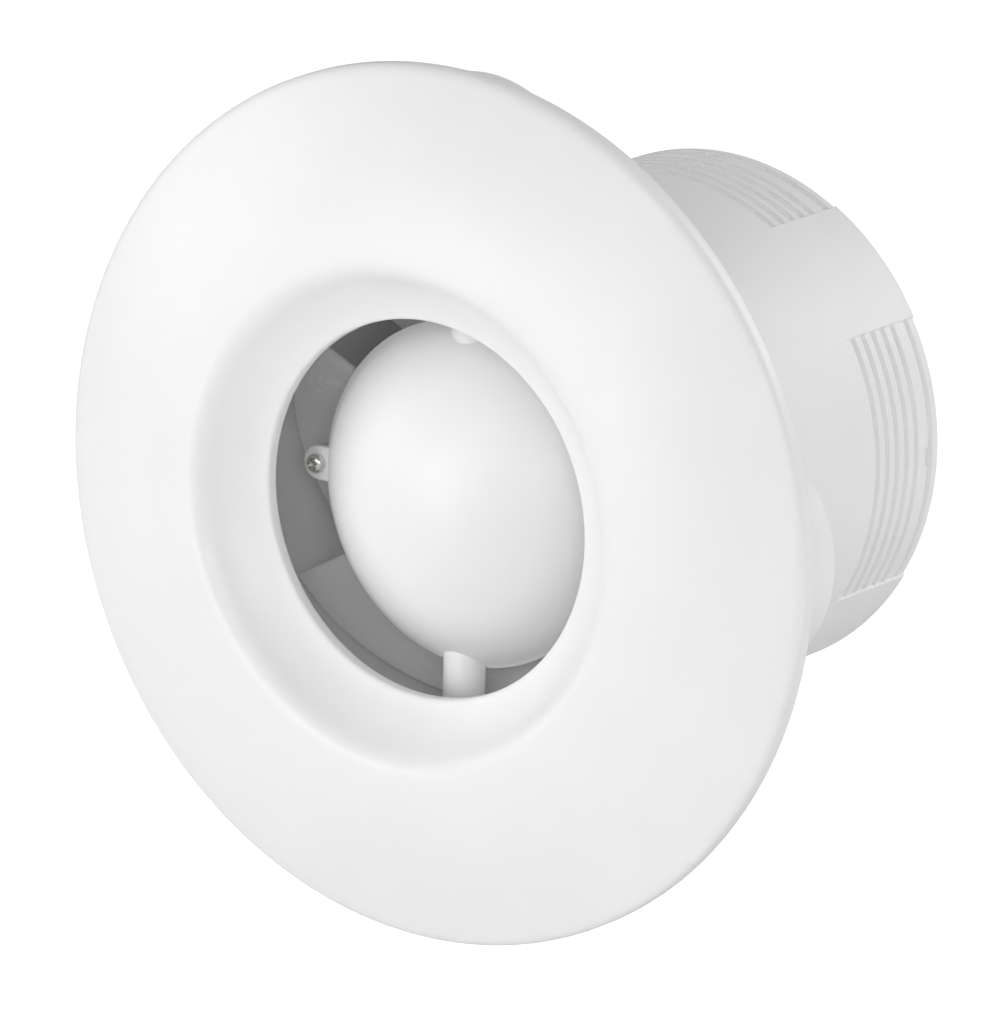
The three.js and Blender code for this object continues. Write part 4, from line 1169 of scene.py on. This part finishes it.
# ---- the pieces
SINGLE_PIECES = (
    ("front_panel", build_panel, "panel_plastic"), ("base_housing", build_base, "base_plastic"),
    ("motor_pod", build_pod, "pod_plastic"), ("impeller", build_impeller, "impeller_plastic"),
    ("impeller_clip", build_clip, "spring_steel"), ("motor_plate", build_plate, "zinc_steel"),
    ("motor_can", build_can, "zinc_steel"), ("shaft", build_shaft, "screw_steel"),
    ("rotor_core", build_rotor_core, "laminated_steel"),
    ("shutter_frame", build_shutter_frame, "shutter_plastic"), ("hinge_pin", build_pin, "spring_steel"),
    ("terminal_block", build_terminal_block, "cream_plastic"),
    ("terminal_cover", build_cover, "pod_plastic"), ("cable_grommet", build_grommet, "black_rubber"),
    ("cable_clamp", build_clamp, "base_plastic"),
)
for node, build, look in SINGLE_PIECES:
    place_piece(build(), node, look)
for bearing in ("front_bearing", "rear_bearing"):
    place_piece(build_bearing(bearing), bearing, "bronze")
for k in range(4):
    place_piece(moved(build_coil(), turn=k * math.pi / 2), f"coil_{k + 1}", "copper_wire")
for name, way in (("left", -1), ("right", 1)):
    place_piece(build_flap(name, way), "flap_" + name, "shutter_plastic")
    spring = build_spring(name, way)
    spring.name = f"flap_spring_{name}_fine"
    spring.data.materials.append(LOOKS["spring_steel"])
    spring.data.shade_smooth()
    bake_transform(spring)
    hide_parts("flap_spring_" + name)

for k, screw in enumerate(sorted(n for n in frame["nodes"] if "_screw" in n)):
    place_piece(build_screw(screw, 0.35 + 1.1 * k), screw, "screw_steel")

for (end, x), side, look in zip(TERMINALS.items(), (-1, 1), ("brown_insulation", "blue_insulation")):
    place_piece(build_insert("terminal_insert_" + end), "terminal_insert_" + end, "brass")
    place_piece(build_lead(side, x), "lead_" + end, look)

stator = frame["nodes"]["stator_core"]
stator.data.materials.clear()
stator.data.materials.append(LOOKS["laminated_steel"])


# ---- studio
# The camera's angles in degrees and its distances in metres.
AZIMUTH = 35.55
ELEVATION = 14.8
AXIS_TURN = 1.7
DISTANCE = 1.7901
SIDE_SHIFT = 0.01085
DROP = 0.00125
LENS_MM = 350.3
SENSOR_MM = 36
SKY = Sizes(bright_side=(-1, 0, 0), dim=0.0, bright=0.48)


def build_floor():
    """A wide pale floor below the fan."""
    half, level = 20.0, -0.26
    mesh = bpy.data.meshes.new("studio_floor")
    spots = [(x * half, y * half, level) for x, y in ((-1, -1), (1, -1), (1, 1), (-1, 1))]
    mesh.from_pydata(spots, [], [(0, 1, 2, 3)])
    mesh.materials.append(floor_paint())
    link("studio_floor", mesh)


def build_sky():
    """An even white surround, brighter on the side the window light comes from."""
    world = bpy.data.worlds.new("studio")
    bpy.context.scene.world = world
    world.use_nodes = True
    nodes, links = world.node_tree.nodes, world.node_tree.links
    place = nodes.new("ShaderNodeTexCoord").outputs["Generated"]
    toward = nodes.new("ShaderNodeVectorMath")
    toward.operation = "DOT_PRODUCT"
    toward.inputs[1].default_value = SKY.bright_side
    links.new(place, toward.inputs[0])
    fade = nodes.new("ShaderNodeMapRange")
    for name, value in (("From Min", -1), ("To Min", SKY.dim), ("To Max", SKY.bright)):
        fade.inputs[name].default_value = value
    links.new(toward.outputs["Value"], fade.inputs["Value"])
    links.new(fade.outputs["Result"], nodes["Background"].inputs["Strength"])
    nodes["Background"].inputs["Color"].default_value = (1, 1, 1, 1)


def seen_from(azimuth, elevation):
    """The direction from the fan to a place round it; 0, 0 is straight in front."""
    a, e = math.radians(azimuth), math.radians(elevation)
    return Vector((math.sin(a) * math.cos(e), -math.cos(a) * math.cos(e), math.sin(e)))


def stand(made, place, rotation):
    made.location = place
    made.rotation_mode = "QUATERNION"
    made.rotation_quaternion = rotation


def build_lamp(name, azimuth, elevation, distance, size, watts):
    """A square soft box that points at the fan."""
    back = seen_from(azimuth, elevation)
    lamp = bpy.data.lights.new(name, "AREA")
    lamp.energy = watts
    lamp.size = size
    stand(link(name, lamp), back * distance, (-back).to_track_quat("-Z", "Y"))


def build_camera():
    """A long lens at the front right, a little above; the fan stands slightly turned about its axis."""
    turn = Matrix.Rotation(math.radians(-AXIS_TURN), 3, "Y")
    back = turn @ seen_from(AZIMUTH, ELEVATION)
    right = turn @ seen_from(AZIMUTH + 90, 0)
    up = back.cross(right)
    camera = bpy.data.cameras.new("camera")
    camera.lens = LENS_MM
    camera.sensor_width = SENSOR_MM
    camera.clip_end = 60
    made = link("camera", camera)
    place = Vector((0, PANEL_BACK * MM, 0)) + back * DISTANCE + right * SIDE_SHIFT - up * DROP
    stand(made, place, Matrix((right, up, back)).transposed().to_quaternion())
    bpy.context.scene.camera = made


LAMPS = (  # azimuth and elevation in degrees, distance and size in metres, power in watts
    ("key_light", 0, 25, 2.0, 1.2, 6.0),
    ("lens_light", 35, 15, 1.9, 0.8, 6.4),
    ("low_left_light", -20, 0, 1.5, 0.8, 7.8),
    ("left_light", -60, 10, 0.9, 0.5, 1.4),
    ("rear_light", 135, 35, 1.2, 0.8, 8),
    ("low_right_light", 80, -18, 0.6, 0.15, 0.5),
)
build_floor()
build_sky()
for lamp in LAMPS:
    build_lamp(*lamp)
build_camera()
bpy.context.scene.view_settings.view_transform = "Standard"
